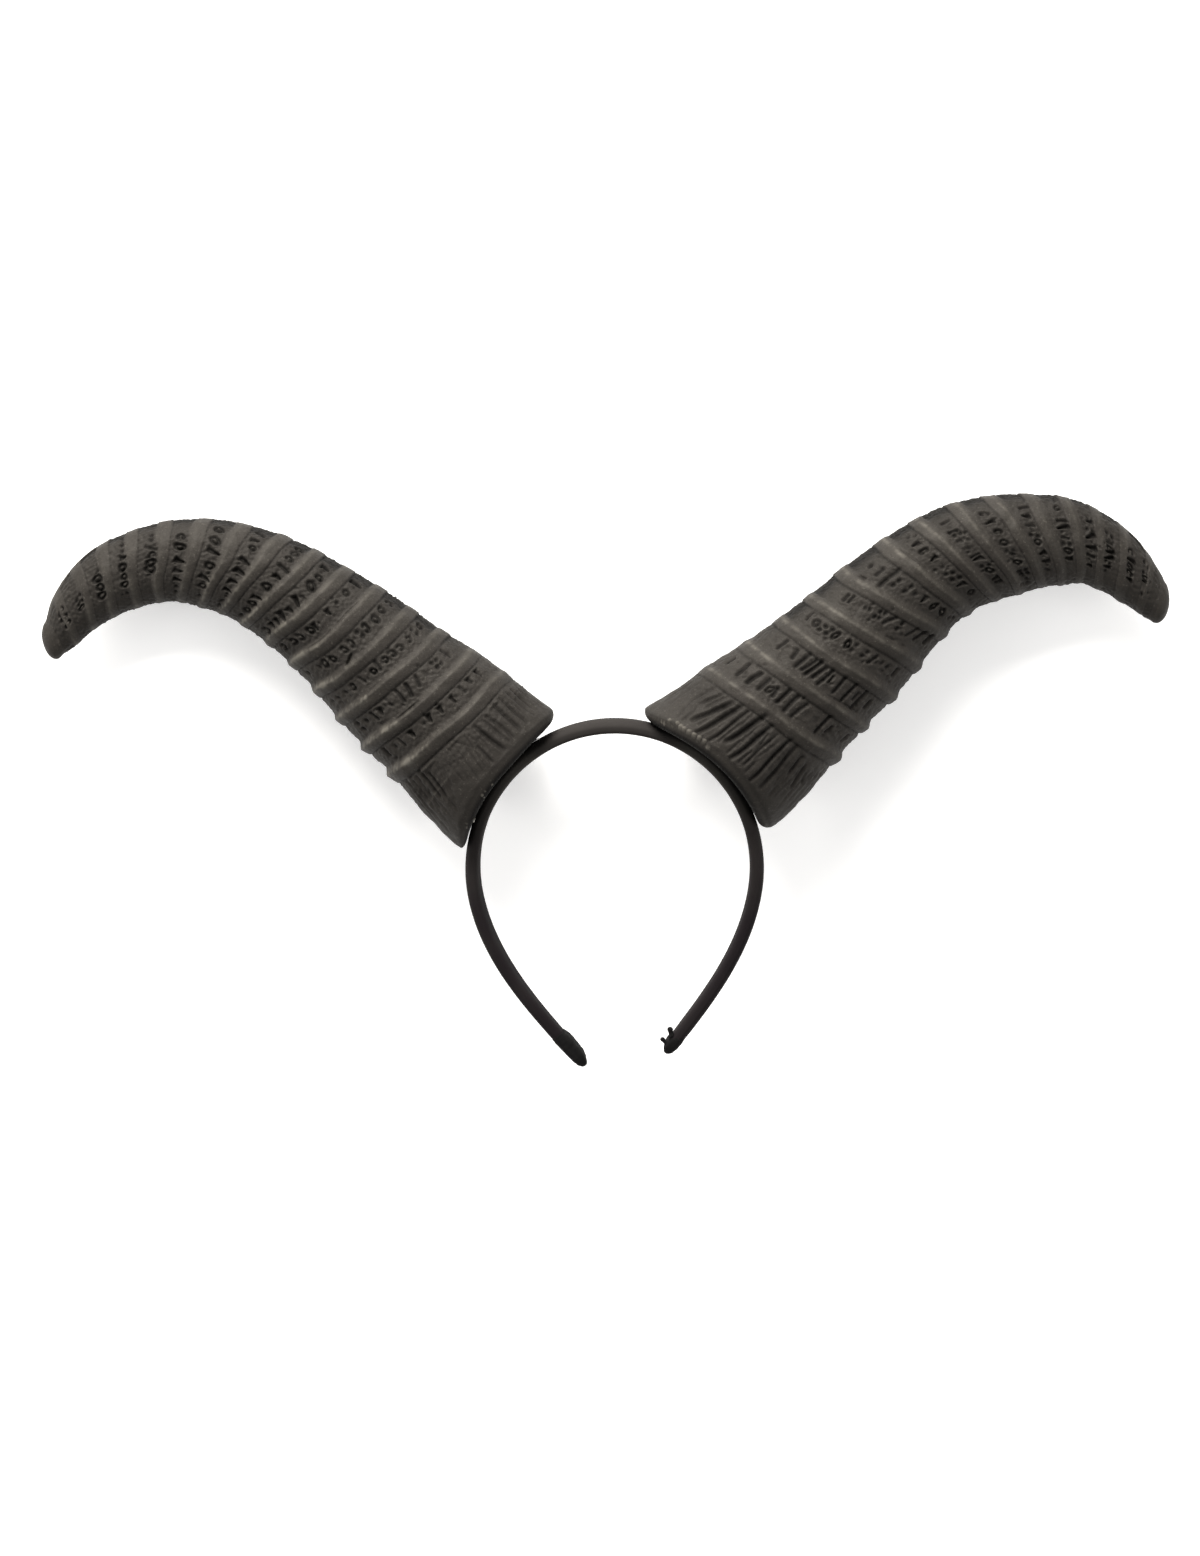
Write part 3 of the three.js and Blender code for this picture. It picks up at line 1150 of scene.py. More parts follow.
    def marks(self, skin: Skin) -> Numbers:
        """Depth of the marks in the furrows.

        Args:
            skin: Where the points of the skin are.

        Returns:
            The depth in millimetres at each point.
        """
        depth = np.zeros_like(skin.phase)
        for furrow in self.furrows:
            near = np.nonzero(np.abs(skin.phase - furrow.at) < 0.7)[0]
            small = 1 - 0.16 * furrow.at / self.last
            for spot, mark in self.drawn(furrow):
                press = PRESSES[mark]
                size = small * self.chance.uniform(0.85, 1.15, 2)
                lean = press.lean + self.chance.normal(0, 0.1)
                stray = self.chance.normal(0, 0.12 if mark is Mark.SPECK else 0.015)
                at = furrow.at + furrow.climb * (1 - math.cos(spot)) / 2 + stray
                x = turned_from(spot, skin.angle[near]) * skin.girth[near]
                y = (skin.phase[near] - at) * skin.spacing[near]
                across = (x * math.cos(lean) + y * math.sin(lean)) / (press.wide * size[0])
                along = (y * math.cos(lean) - x * math.sin(lean)) / (press.long * size[1])
                across += 0.2 * np.sin(1.9 * along + self.chance.uniform(0, 2 * math.pi))
                cut = press.depth * small * self.press(mark, across, along)
                depth[near] = np.maximum(depth[near], cut * self.chance.uniform(0.75, 1.15))
        return depth * (1 - eased(0.75, 1.0, skin.ribs) * skin.ribbed)

    def strewn_grooves(self) -> list[Score]:
        """Lines strewn over the collar, fine in front and deep behind."""
        made = []
        for turn in [*np.arange(12, 168, 3.5), *np.arange(195, 345, 7.0)]:
            start = math.radians(turn + self.chance.uniform(-2, 2))
            lean = self.chance.normal(0, 0.06)
            high, low = self.chance.uniform(1.3, 1.65), self.chance.uniform(0.3, 0.9)
            wide, deep = (1.5, 0.9) if turn > 180 else (0.9, 0.3)
            depth = deep * self.chance.uniform(0.3, 1.0)
            made.append(Score((start, high), (start + lean, low), wide, depth))
        return made

    def scored(self, skin: Skin) -> Numbers:
        """Depth of the grooves of the collar and the cracks in the ribs.

        Args:
            skin: Where the points of the skin are.

        Returns:
            The depth in millimetres at each point.
        """
        along = skin.along + (skin.phase - skin.along) * eased(1.8, 2.3, skin.along)
        depth = np.zeros_like(along)
        for line in [*self.strewn_grooves(), *(groove.score() for groove in self.grooves)]:
            (turn, first), (stop, last) = line.start, line.stop
            near = np.nonzero((along > min(first, last) - 0.3) & (along < max(first, last) + 0.3))[0]
            bend = 0.22 * np.sin(4 * along[near] + self.chance.uniform(0, 2 * math.pi))
            x = turned_from(turn, skin.angle[near]) * skin.girth[near] + bend
            y = (along[near] - first) * skin.spacing[near]
            way = np.stack([(stop - turn) * skin.girth[near], (last - first) * skin.spacing[near]])
            part = np.clip((x * way[0] + y * way[1]) / (way**2).sum(axis=0), 0, 1)
            reach = np.hypot(x - part * way[0], y - part * way[1])
            cut = line.depth * bell(reach, line.width / 2) * (1 - 0.4 * (2 * part - 1) ** 4)
            depth[near] = np.where(np.abs(cut) > np.abs(depth[near]), cut, depth[near])
        return depth

    def sunk(self, skin: Skin) -> Numbers:
        """How far the furrows sink at their ends beside the outer curve, as a share."""
        beside = bell(skin.angle - self.relief.sink_angle, self.relief.sink_reach)
        return beside * skin.furrow * eased(3.0, 4.5, skin.along)

    def dropped(self, smooth: Numbers) -> tuple[Numbers, Numbers]:
        """Height and paleness of the drops of glue.

        Args:
            smooth: Places on the smooth horn.

        Returns:
            The height in millimetres, and the paleness as a share.
        """
        height, pale = np.zeros(len(smooth)), np.zeros(len(smooth))
        for drop in self.drops:
            c = np.array([1 - 2 * drop.across])
            up = np.array([drop.up])
            spot = self.form(np.clip(up, 0, None), c, np.sqrt(1 - c * c), 1 + np.clip(up, None, 0))
            reach = np.linalg.norm(smooth - spot, axis=1) / (drop.size / 2)
            height = np.maximum(height, drop.size * drop.bulge * np.sqrt(np.clip(1 - reach**2, 0, 1)))
            pale = np.maximum(pale, drop.pale * (1 - eased(0.7, 1.3, reach)))
        return height, pale

    def worked(self, skin: Skin) -> Numbers:
        """Where the skin is worked: not under the base, and less and less over the tip."""
        return (skin.share >= 1) * (1 - np.clip(skin.along - self.last, 0, 1))

    def fade(self, skin: Skin) -> Numbers:
        """How far the skin is carved: as where it is worked, and from the base's edge up."""
        return np.clip(skin.along / self.relief.foot, 0, 1) * self.worked(skin)

    def raised(self, piece: bpy.types.Object, skin: Skin, pressed: Numbers) -> Numbers:
        """Height of the skin above the smooth form.

        Args:
            piece: The refined skin.
            skin: Where its points are.
            pressed: Depth of what is pressed into it.

        Returns:
            The height in millimetres at each point.
        """
        relief = self.relief
        rim = np.clip(blurred(piece, pressed, relief.rim_rounds) - pressed, 0, None)
        lumps = relief.broad_lumps.over(skin.smooth, self.chance)
        lumps += relief.fine_lumps.over(skin.smooth, self.chance)
        lumps += relief.furrow_lumps.over(skin.smooth, self.chance) * skin.furrow
        ribs = skin.height * (np.minimum(skin.ribs, 1) - 1)
        height = (ribs + rim + lumps) * self.fade(skin) - pressed
        height = np.where(skin.front < -0.5, np.minimum(height, 0), height)
        return height - relief.back_clear * eased(0.5, 0.9, -skin.front)

    def faint(self, along: Numbers) -> Numbers:
        """How far edges and creases show, as a share, at places counted in rings."""
        return 1 - self.tint.faint * eased(8.0, 11.0, along)

    def paleness(self, skin: Skin) -> Numbers:
        """How pale the ribs are on their edges, partly dry-brushed wear and partly a painted highlight,
        with painted light on their side that faces the light.

        Args:
            skin: Where the points of the skin are.

        Returns:
            The paleness as a share at each point.
        """
        tint = self.tint
        ragged = tint.broad_patches.over(skin.smooth, self.chance)
        ragged += tint.fine_patches.over(skin.smooth, self.chance)
        # Crest lines, partly dry-brushed wear and partly a painted highlight, wider and paler on the side
        # of the ribs that faces the light.
        crest = skin.line(self.lip / 2, tint.edge_reach + tint.lit_side_reach * self.lit_side_highlight)
        painted_light = self.lit_side_highlight * eased(-0.1, 0.6, skin.outer * self.side.value)
        edge = (tint.edge + painted_light) * self.faint(skin.along) * crest * np.clip(0.5 + 0.5 * ragged, 0.1, 1.2)
        # Painted light on the backs of the ribs on the side that faces the light.
        edge += tint.lit_rib_back * painted_light * eased(0.5, 0.9, skin.ribs) * skin.ribbed
        return edge * self.fade(skin)

    def darkness(self, skin: Skin, marks: Numbers, grooves: Numbers) -> Numbers:
        """How dark the skin is: painted shade in its marks, grooves, creases, furrows and their sunk ends,
        at the collar's foot and under the base, with a darker collar.

        Args:
            skin: Where the points of the skin are.
            marks: Depth of the marks.
            grooves: Depth of the grooves.

        Returns:
            The darkness as a share at each point.
        """
        tint = self.tint
        # Painted shade in marks, grooves, furrows, creases, the collar's foot, the furrows' sunk ends and
        # under the base; the collar is simply darker.
        depth = tint.furrow + tint.high_furrow * eased(4.0, 7.0, skin.along)
        dark = tint.mark * np.clip((marks - tint.mark_least) / tint.mark_depth, 0, 1)
        dark += grooves / tint.groove_depth
        dark += (1 - eased(0.0, 0.3, skin.ribs)) * skin.ribbed * depth
        dark += tint.crease * self.faint(skin.along) * skin.line(self.crease, tint.crease_reach)
        dark += tint.collar * (1 - eased(1.2, 1.9, skin.along))
        dark += tint.foot * (1 - eased(0.0, 0.16, skin.along))
        dark = np.clip(np.clip(dark, 0, tint.most) + self.sunk(skin), 0, 1)
        base = tint.base * (skin.share < 1) * (1 - eased(0.955, 1.0, skin.share))
        return np.maximum(dark * self.worked(skin), base)

    def carve(self, piece: bpy.types.Object) -> None:
        """Settle the drawn-out skin on the horn's form, carve its relief and paint pale edges, partly a
        painted highlight, and painted shade onto it.

        Args:
            piece: The refined skin.
        """
        skin = self.skin(piece)
        normals = settle(piece, skin.smooth)
        marks = self.marks(skin)
        grooves = self.scored(skin)
        sinking = self.relief.sink_depth * self.sunk(skin)
        pressed = (marks + self.relief.groove_gain * grooves + sinking) * self.fade(skin)
        raised = self.raised(piece, skin, pressed)
        drops, pale = self.dropped(skin.smooth)
        settle(piece, skin.smooth + normals * (raised + drops)[:, None])
        # Pale edges, partly a painted highlight, and painted shade, kept for the material; the glue drops
        # stay pale.
        keep(piece, "edge", np.maximum(self.paleness(skin), pale))
        keep(piece, "cut", self.darkness(skin, marks, grooves) * (1 - np.clip(pale * 2, 0, 1)))

    def build(self, look: bpy.types.Material) -> bpy.types.Object:
        """Make the finished horn.

        Args:
            look: Its material.

        Returns:
            The horn.
        """
        piece = self.block_out()
        refine(piece, levels=3)
        self.carve(piece)
        finish_piece(piece, f"{self.side.word}_horn", look)
        return piece


@dataclass
class Headband:
    """The springy strip in its close cover of cloth."""

    radius: float = 59.9
    thickness: float = 5.9
    crown_width: float = 14.0
    end_width: float = 9.0
    crown_turn: float = math.radians(96.5)
    leg_turn: float = math.radians(129)
    leg_ease: float = 80.0
    left_straight: float = 11.0
    right_straight: float = 5.5
    left_twist: float = math.radians(10)
    right_twist: float = math.radians(2)
    twist_start: float = 40.0
    end_round: float = 6.0
    left_taper: float = 0.14
    right_taper: float = 0.12
    taper_length: float = 16.0
    inner_power: float = 0.5
    outer_power: float = 0.95
    longest: float = 220.0
    measure: float = 0.25
    section_step: float = 5.0
    end_sections: tuple[float, ...] = (0.06, 0.5, 1.5, 3.0)
    end_length: float = 4.0
    # Lengths from the crown's top, and the share of painted light on the cloth there: a painted sheen on
    # the crown and painted light over the shade under the horns.
    painted_light: tuple[tuple[float, float], ...] = (
        (24.0, 0.42),
        (36.0, 0.95),
        (45.0, 0.95),
        (68.0, 0.47),
        (80.0, 0.2),
        (95.0, 0.2),
        (108.0, 0.0),
    )
    sides: int = 16

    def reach(self, side: Side) -> float:
        """Length of the strip from the crown's top to one end."""
        straight = self.left_straight if side is Side.LEFT else self.right_straight
        return self.radius * self.crown_turn + self.leg_ease + straight

    def heading(self, length: Numbers) -> Numbers:
        """Turn of the strip from level at lengths from the crown's top."""
        crown = self.radius * self.crown_turn
        ease = np.clip((length - crown) / self.leg_ease, 0, 1)
        leg = self.crown_turn + (self.leg_turn - self.crown_turn) * ease * (2 - ease)
        return np.where(length <= crown, length / self.radius, leg)

    def spots(self, length: Numbers) -> Numbers:
        """Middle of the strip at lengths along it, below zero to the left."""
        grid = np.arange(0, self.longest, self.measure)
        turn = self.heading(grid[:-1] + self.measure / 2)
        x = np.concatenate([[0], np.cumsum(np.cos(turn) * self.measure)])
        y = self.radius - np.concatenate([[0], np.cumsum(np.sin(turn) * self.measure)])
        y = np.where(y > 0, y * CROWN_RISE, y)
        size = np.abs(length)
        return np.stack([np.sign(length) * np.interp(size, grid, x), np.interp(size, grid, y)], axis=-1)

    def sizes(self, length: Numbers) -> tuple[Numbers, Numbers, Numbers]:
        """Half width, half thickness and twist of the strip at lengths along it.

        Args:
            length: Lengths from the crown's top, below zero to the left.

        Returns:
            The three sizes.
        """
        left = length < 0
        total = np.where(left, self.reach(Side.LEFT), self.reach(Side.RIGHT))
        size = np.abs(length)
        width = self.crown_width + (self.end_width - self.crown_width) * np.clip(size / total, 0, 1)
        most = np.where(left, self.left_twist, self.right_twist)
        twisted = np.clip((size - self.twist_start) / (total - self.twist_start), 0, 1)
        back = np.clip((total - size) / self.end_round, 0, 1)
        share = np.sqrt(np.clip(1 - (1 - back) ** 2, 0, 1))
        taper = np.where(left, self.left_taper, self.right_taper)
        thick = self.thickness / 2 * (1 - taper * np.clip(1 - (total - size) / self.taper_length, 0, 1))
        return width / 2 * share, thick * share, most * np.sin(math.pi * twisted) ** 2

    def form(self, length: Numbers, c: Numbers, s: Numbers, share: Numbers, grow: Numbers) -> Numbers:
        """Points of the strip's skin.

        Args:
            length: Lengths from the crown's top, below zero to the left.
            c: Places round the section, 1 on its outer face.
            s: Places round the section, 1 at the front.
            share: Shares of the section's size.
            grow: Millimetres added to it all round.

        Returns:
            The points as worn.
        """
        half, thick, twist = self.sizes(length)
        power = np.where(c < 0, self.inner_power, self.outer_power)
        out = np.sign(c) * np.abs(c) ** power * (thick + grow) * share
        across = np.sign(s) * np.abs(s) ** power * (half + grow) * share
        turned = out * np.cos(twist) + across * np.sin(twist)
        across = across * np.cos(twist) - out * np.sin(twist)
        turn = self.heading(np.abs(length))
        spot = self.spots(length)
        x = spot[:, 0] + np.sign(length) * np.sin(turn) * turned
        y = spot[:, 1] + np.cos(turn) * turned
        return np.stack([x, y, across], axis=-1)

    def stations(self, lengths: Sequence[float]) -> list[Station]:
        """Sections of a skin along the strip.

        Args:
            lengths: Where they are, from the crown's top, below zero to the left.

        Returns:
            The sections.
        """
        made = []
        for length, spot in zip(lengths, self.spots(np.array(lengths))):
            turn = math.pi / 2 - math.copysign(float(self.heading(np.array(abs(length)))), length)
            middle = tuple(RESTING.lay(np.array([spot[0], spot[1], 0.0])))
            made.append(Station(middle, turn, self.thickness / 2 / PER_METRE, length))
        return made

    def build(self, look: bpy.types.Material) -> bpy.types.Object:
        """Make the finished strip.

        Args:
            look: Its material.

        Returns:
            The strip.
        """
        left, right = -self.reach(Side.LEFT), self.reach(Side.RIGHT)
        step = self.section_step
        inside = np.arange((math.ceil(left / step) + 0.5) * step, right - self.end_length, step)
        head = [left + k for k in self.end_sections]
        tail = [right - k for k in (*self.end_sections[::-1], 0.0)]
        lengths = [*head, *inside[inside > left + self.end_length], *tail]
        piece = draw_out("cloth_headband", self.stations(lengths), self.sides, 0.0)
        refine(piece, levels=2)
        along, share, angle = places(piece)
        settle(piece, self.form(along, np.cos(angle), np.sin(angle), share, np.zeros_like(along)))
        # Painted light along the strip: a painted sheen on the crown, and painted light over the shade
        # under the horns.
        keep(piece, "painted_light", np.interp(np.abs(along), *zip(*self.painted_light)))
        finish_piece(piece, "headband", look)
        return piece


@dataclass(frozen=True)
class Tatter:
    """A torn shred of cloth.

    Its foot as worn, its way in degrees, its bend, length and width, how far it rises to the front
    on its way, and its widths along it as shares.
    """

    foot: tuple[float, float, float]
    way: float
    bend: float
    length: float
    width: float
    rise: float = 0.12
    knobs: tuple[float, ...] = (1.0, 1.0, 0.8, 0.75, 1.1, 0.95, 0.05)

    def build(self, name: str) -> bpy.types.Object:
        """Draw the shred out of its foot to a knobbly end.

        Args:
            name: Its name.

        Returns:
            The shred.
        """
        spot = np.array(self.foot)
        steps = len(self.knobs) - 1
        made = []
        for k, grow in enumerate(self.knobs):
            way = math.radians(self.way + self.bend * k / steps)
            middle = tuple(RESTING.lay(spot))
            made.append(Station(middle, way + math.pi / 2, self.width * grow / 2 / PER_METRE, float(k)))
            spot = spot + self.length / steps * np.array([math.cos(way), math.sin(way), self.rise])
        piece = draw_out(name, made, 8, 0.0)
        smooth = piece.modifiers.new("smooth", "SUBSURF")
        smooth.levels = 2
        smooth.render_levels = 2
        bpy.ops.object.modifier_apply(modifier=smooth.name)
        return piece


@dataclass
class EndCover:
    """Cloth drawn over one end of the strip, turned in and stuck down on its inner face."""

    band: Headband
    side: Side
    length: float
    fold: float
    ragged: float
    tatters: tuple[Tatter, ...] = ()
    skin: float = 0.22
    rim_share: float = 0.85
    tear_size: float = 4.0
    tear_reach: float = 2.0
    wrinkles: Unevenness = Unevenness(2.5, 0.08)
    seed: int = 5

    def build(self, look: bpy.types.Material) -> bpy.types.Object:
        """Make the finished cover, with its shreds.

        Args:
            look: Its material.

        Returns:
            The cover.
        """
        reach = self.band.reach(self.side)
        sign = self.side.value
        backs = [self.length, self.length, *np.arange(self.length - 1, 0.4, -1.0), 0.25, 0.0]
        shares = [self.rim_share] + [1.0] * (len(backs) - 1)
        spots = self.band.stations([sign * (reach - back) for back in backs])
        made = [Station(s.middle, s.turn, s.half, s.along, k) for s, k in zip(spots, shares)]
        piece = draw_out(f"{self.side.word}_end_cover", made, 16, 0.0)
        refine(piece, levels=2)
        along, share, angle = places(piece)
        c, s = np.cos(angle), np.sin(angle)
        chance = np.random.default_rng(self.seed)
        smooth = self.band.form(along, c, s, share, np.zeros_like(along))
        torn = Unevenness(self.tear_size, self.ragged).over(smooth, chance) * eased(0.3, 1.0, share)
        back = reach - np.abs(along)
        rim = self.length - back
        layer = eased(0.0, 5.0, rim) * eased(0.0, 8.0, back)
        grow = self.skin + self.fold * eased(-0.1, 0.75, -c) * layer
        grow += self.wrinkles.over(smooth, chance)
        edge = np.clip(1 - rim / self.tear_reach, 0, 1)
        settle(piece, self.band.form(along + sign * torn * edge, c, s, share, grow))
        shreds = [t.build(f"{self.side.word}_shred_{k}") for k, t in enumerate(self.tatters)]
        join(piece, shreds)
        finish_piece(piece, f"{self.side.word}_end_tab", look)
        return piece


@dataclass(frozen=True)
class Lump:
    """A lump of squeezed-out glue: turn from the crown's top in degrees, radius, height, size."""

    turn: float
    radius: float
    front: float
    size: float


@dataclass
class GlueBead:
    """Glue along the seam of one horn, with lumps squeezed out of it."""

    side: Side
    lumps: tuple[Lump, ...]
    half_turn: float = math.radians(22)
    inner: float = 62.95
    thickness: float = 0.5
    width: float = 5.0
    sections: int = 25
    seed: int = 3

    def around(self, turn: Numbers, radius: Numbers, front: Numbers) -> Numbers:
        """Points round the crown, as worn."""
        up = np.cos(turn) * radius * CROWN_RISE
        return np.stack([self.side.value * np.sin(turn) * radius, up, front], axis=-1)

    def build(self, look: bpy.types.Material) -> bpy.types.Object:
        """Make the finished bead with its lumps.

        Args:
            look: Its material.

        Returns:
            The bead.
        """
        seat = SEAT_TURNS[self.side]
        turns = seat + np.linspace(-self.half_turn, self.half_turn, self.sections)
        spots = self.around(turns, np.full(self.sections, self.inner), np.zeros(self.sections))
        sign = self.side.value
        made = []
        for turn, spot in zip(turns, spots):
            middle = tuple(RESTING.lay(spot))
            made.append(Station(middle, math.pi / 2 - sign * turn, self.thickness / 2 / PER_METRE, turn))
        piece = draw_out(f"{self.side.word}_seam_glue", made, 12, 0.0)
        refine(piece, levels=2)
        along = kept(piece, "along")
        c, s = kept(piece, "outer"), kept(piece, "front")
        chance = np.random.default_rng(self.seed)
        ends = np.sqrt(np.clip(1 - ((along - seat) / self.half_turn) ** 4, 0, 1))
        wide = self.width / 2 * (1 + 0.12 * np.sin(along * 31) + 0.08 * np.sin(along * 77 + 1))
        radius = self.inner + self.thickness / 2 * (1 + c * ends)
        settle(piece, self.around(along, radius, s * wide * ends))
        blobs = [self.blob(lump, k, chance) for k, lump in enumerate(self.lumps)]
        join(piece, blobs)
        finish_piece(piece, f"{self.side.word}_glue_bead", look)
        return piece

    def blob(self, lump: Lump, number: int, chance: np.random.Generator) -> bpy.types.Object:
        """Squeeze out one lump.

        Args:
            lump: Its place and size.
            number: Its number.
            chance: Where its unevenness is drawn from.

        Returns:
            The lump.
        """
        turn = np.array([math.radians(lump.turn)])
        spot = self.around(turn, np.array([lump.radius]), np.array([lump.front]))[0]
        bpy.ops.object.select_all(action="DESELECT")
        bpy.ops.mesh.primitive_ico_sphere_add(
            subdivisions=3, radius=lump.size / 2 / PER_METRE, location=tuple(RESTING.lay(spot))
        )
        piece = bpy.context.object
        piece.name = f"{self.side.word}_glue_lump_{number}"
        bpy.ops.object.transform_apply(location=True, rotation=True, scale=True)
        with editing(piece):
            bpy.ops.mesh.select_all(action="SELECT")
            stretch = chance.uniform(0.7, 1.4, 3)
            bpy.ops.transform.resize(value=tuple(stretch), center_override=tuple(RESTING.lay(spot)))
            bpy.ops.transform.vertex_random(offset=lump.size / 9 / PER_METRE, seed=number + 1)
            bpy.ops.mesh.vertices_smooth(factor=0.5, repeat=2)
        return piece


@dataclass(frozen=True)
class Lamp:
    """A soft square light: its name, place, side in metres, power in watts and colour."""

    name: str
    spot: tuple[float, float, float]
    size: float
    power: float
    colour: Colour

    def hang(self, aim: Vector) -> None:
        """Hang the light.

        Args:
            aim: What it points at.
        """
        bpy.ops.object.light_add(type="AREA", location=self.spot)
        lamp = bpy.context.object
        lamp.name = self.name
        lamp.data.size = self.size
        lamp.data.energy = self.power
        lamp.data.color = self.colour
        lamp.rotation_euler = (aim - Vector(self.spot)).to_track_quat("-Z", "Y").to_euler()


# One strong light beyond the crown, and weaker ones from both sides.
LAMPS = (
    Lamp("key", (-0.35, 1.53, 0.74), 1.1, 88.0, (1.0, 0.975, 0.935)),
    Lamp("left", (-1.4, -0.2, 0.6), 1.0, 13.0, (1.0, 0.98, 0.95)),
    Lamp("right", (1.4, -0.5, 0.8), 1.2, 15.0, (1.0, 0.98, 0.95)),
)


@dataclass(frozen=True)
class Studio:
    """Floor, soft light and camera, in metres, with the picture's offset in its pixels."""

    floor_size: float = 6.0
    lit_spot: tuple[float, float, float] = (0.0, 0.0, 0.03)
    surround: float = 0.38
    distance: float = 1.543
    lens: float = 85.0
    sensor: float = 36.0
    pitch: float = math.radians(10)
    roll: float = math.radians(2)
    pixel: float = 0.00042
    offset: tuple[float, float] = (11.5, 12.5)

    def floor(self, look: bpy.types.Material) -> bpy.types.Object:
        """Lay the floor.

        Args:
            look: Its material.

        Returns:
            The floor.
        """
        bpy.ops.mesh.primitive_plane_add(size=self.floor_size, location=(0, 0, 0))
        floor = bpy.context.object
        floor.name = "floor"
        floor.data.materials.append(look)
        return floor

    def light(self) -> None:
        """Hang the lamps, with a weak even light all round."""
        for lamp in LAMPS:
            lamp.hang(Vector(self.lit_spot))
        world = bpy.data.worlds.new("studio")
        world.use_nodes = True
        backdrop = world.node_tree.nodes["Background"]
        backdrop.inputs["Color"].default_value = WHITE
        backdrop.inputs["Strength"].default_value = self.surround
        bpy.context.scene.world = world
        bpy.context.scene.view_settings.view_transform = "Standard"

    def camera(self, middle: Vector) -> None:
        """Set the camera as in the picture.

        Args:
            middle: Middle of the part's box.
        """
        view = Vector((0, math.sin(self.pitch), math.cos(self.pitch)))
        level_up = Vector((0, math.cos(self.pitch), -math.sin(self.pitch)))
        level_right = Vector((1, 0, 0))
        right = level_right * math.cos(self.roll) - level_up * math.sin(self.roll)
        up = level_up * math.cos(self.roll) + level_right * math.sin(self.roll)
        aim = middle - right * self.offset[0] * self.pixel + up * self.offset[1] * self.pixel
        bpy.ops.object.camera_add(location=aim + view * self.distance)
        camera = bpy.context.object
        camera.rotation_euler = Matrix((right, up, view)).transposed().to_euler()
        camera.data.lens = self.lens
        camera.data.sensor_width = self.sensor
        bpy.context.scene.camera = camera


LEFT_RINGS = (
    Ring(44, 38.5, 65, 51, 0),
    Ring(55.7, 51, 65.8, 45, 0),
    Ring(67.4, 63.2, 66.5, 39, 2, 0.19, 0.03, 0.12),
    Ring(79, 74, 64, 38, 1.9, 0.2, 0, 0.1),
    Ring(90.5, 84.5, 59.5, 37, 1.8, 0.22, 0.03, 0.12),
    Ring(102, 96, 55, 37, 1.7, 0.16, -0.1, 0.05),
    Ring(113.3, 106.6, 51.2, 37, 1.6, 0.18, -0.08, 0.05),
    Ring(125.5, 116, 47.5, 39, 1.5, 0.1, -0.08, -0.05),
    Ring(136.5, 123.6, 45.2, 42, 1.4, 0.06, -0.06, 0),
    Ring(148, 129.5, 43, 48, 1.3, 0.06, 0.02, -0.08),
    Ring(160.4, 133.7, 40.2, 59, 1.2, 0.08, -0.03, -0.1),
    Ring(172.3, 136.1, 37, 71, 1.1, 0.1, 0.06, 0),
    Ring(184.9, 135.8, 35, 82, 1, 0.12, 0.04, 0),
    Ring(197, 133.1, 32.6, 93, 0.8, 0.03, 0.05, 0),
    Ring(209.1, 128.1, 30.9, 99, 0.7, -0.05, -0.1, -0.05),
    Ring(218.7, 121.4, 28, 104, 0.6, 0, -0.12, -0.15),
    Ring(226.7, 112.6, 23, 110, 0.4, 0, -0.1, -0.1),
    Ring(231.3, 105.7, 15.7, 116, 0),
)
RIGHT_RINGS = (
    Ring(41, 40, 68, 46, 0),
    Ring(55, 52, 68.8, 41, 0),
    Ring(68.8, 64.1, 69, 37, 2, 0.02, 0.02, 0.06),
    Ring(83.2, 75.4, 63.5, 37, 1.9, 0.04, -0.03, 0.04),
    Ring(96.7, 86.4, 60, 37, 1.8, 0.02, -0.06, 0.04),
    Ring(108.7, 97.4, 56, 37, 1.7, -0.08, -0.03, 0.08),
    Ring(120.2, 108.2, 52.2, 38, 1.6, -0.03, 0, 0.2),
    Ring(133.2, 118.2, 48.8, 42, 1.5, 0.12, 0.05, 0.15),
    Ring(146.3, 125.1, 48.2, 49, 1.4, 0.04, 0.11, 0.2),
    Ring(159.6, 129.6, 47.9, 56, 1.3, 0.02, 0.11, 0.14),
    Ring(172.7, 132.1, 43.9, 65, 1.2, -0.08, 0.15, 0.13),
    Ring(184.9, 132.4, 40.3, 75, 1, -0.08, 0.12, 0.14),
    Ring(196.9, 131.6, 36.4, 84, 0.9, -0.17, 0.1, -0.14),
    Ring(207.5, 127, 33.5, 92, 0.8, -0.2, -0.06, -0.2),
    Ring(217.6, 119.9, 29.8, 98, 0.7, -0.15, -0.1, -0.12),
    Ring(225.8, 111.8, 24, 104, 0.4),
    Ring(230.6, 105.5, 17, 112, 0),
)
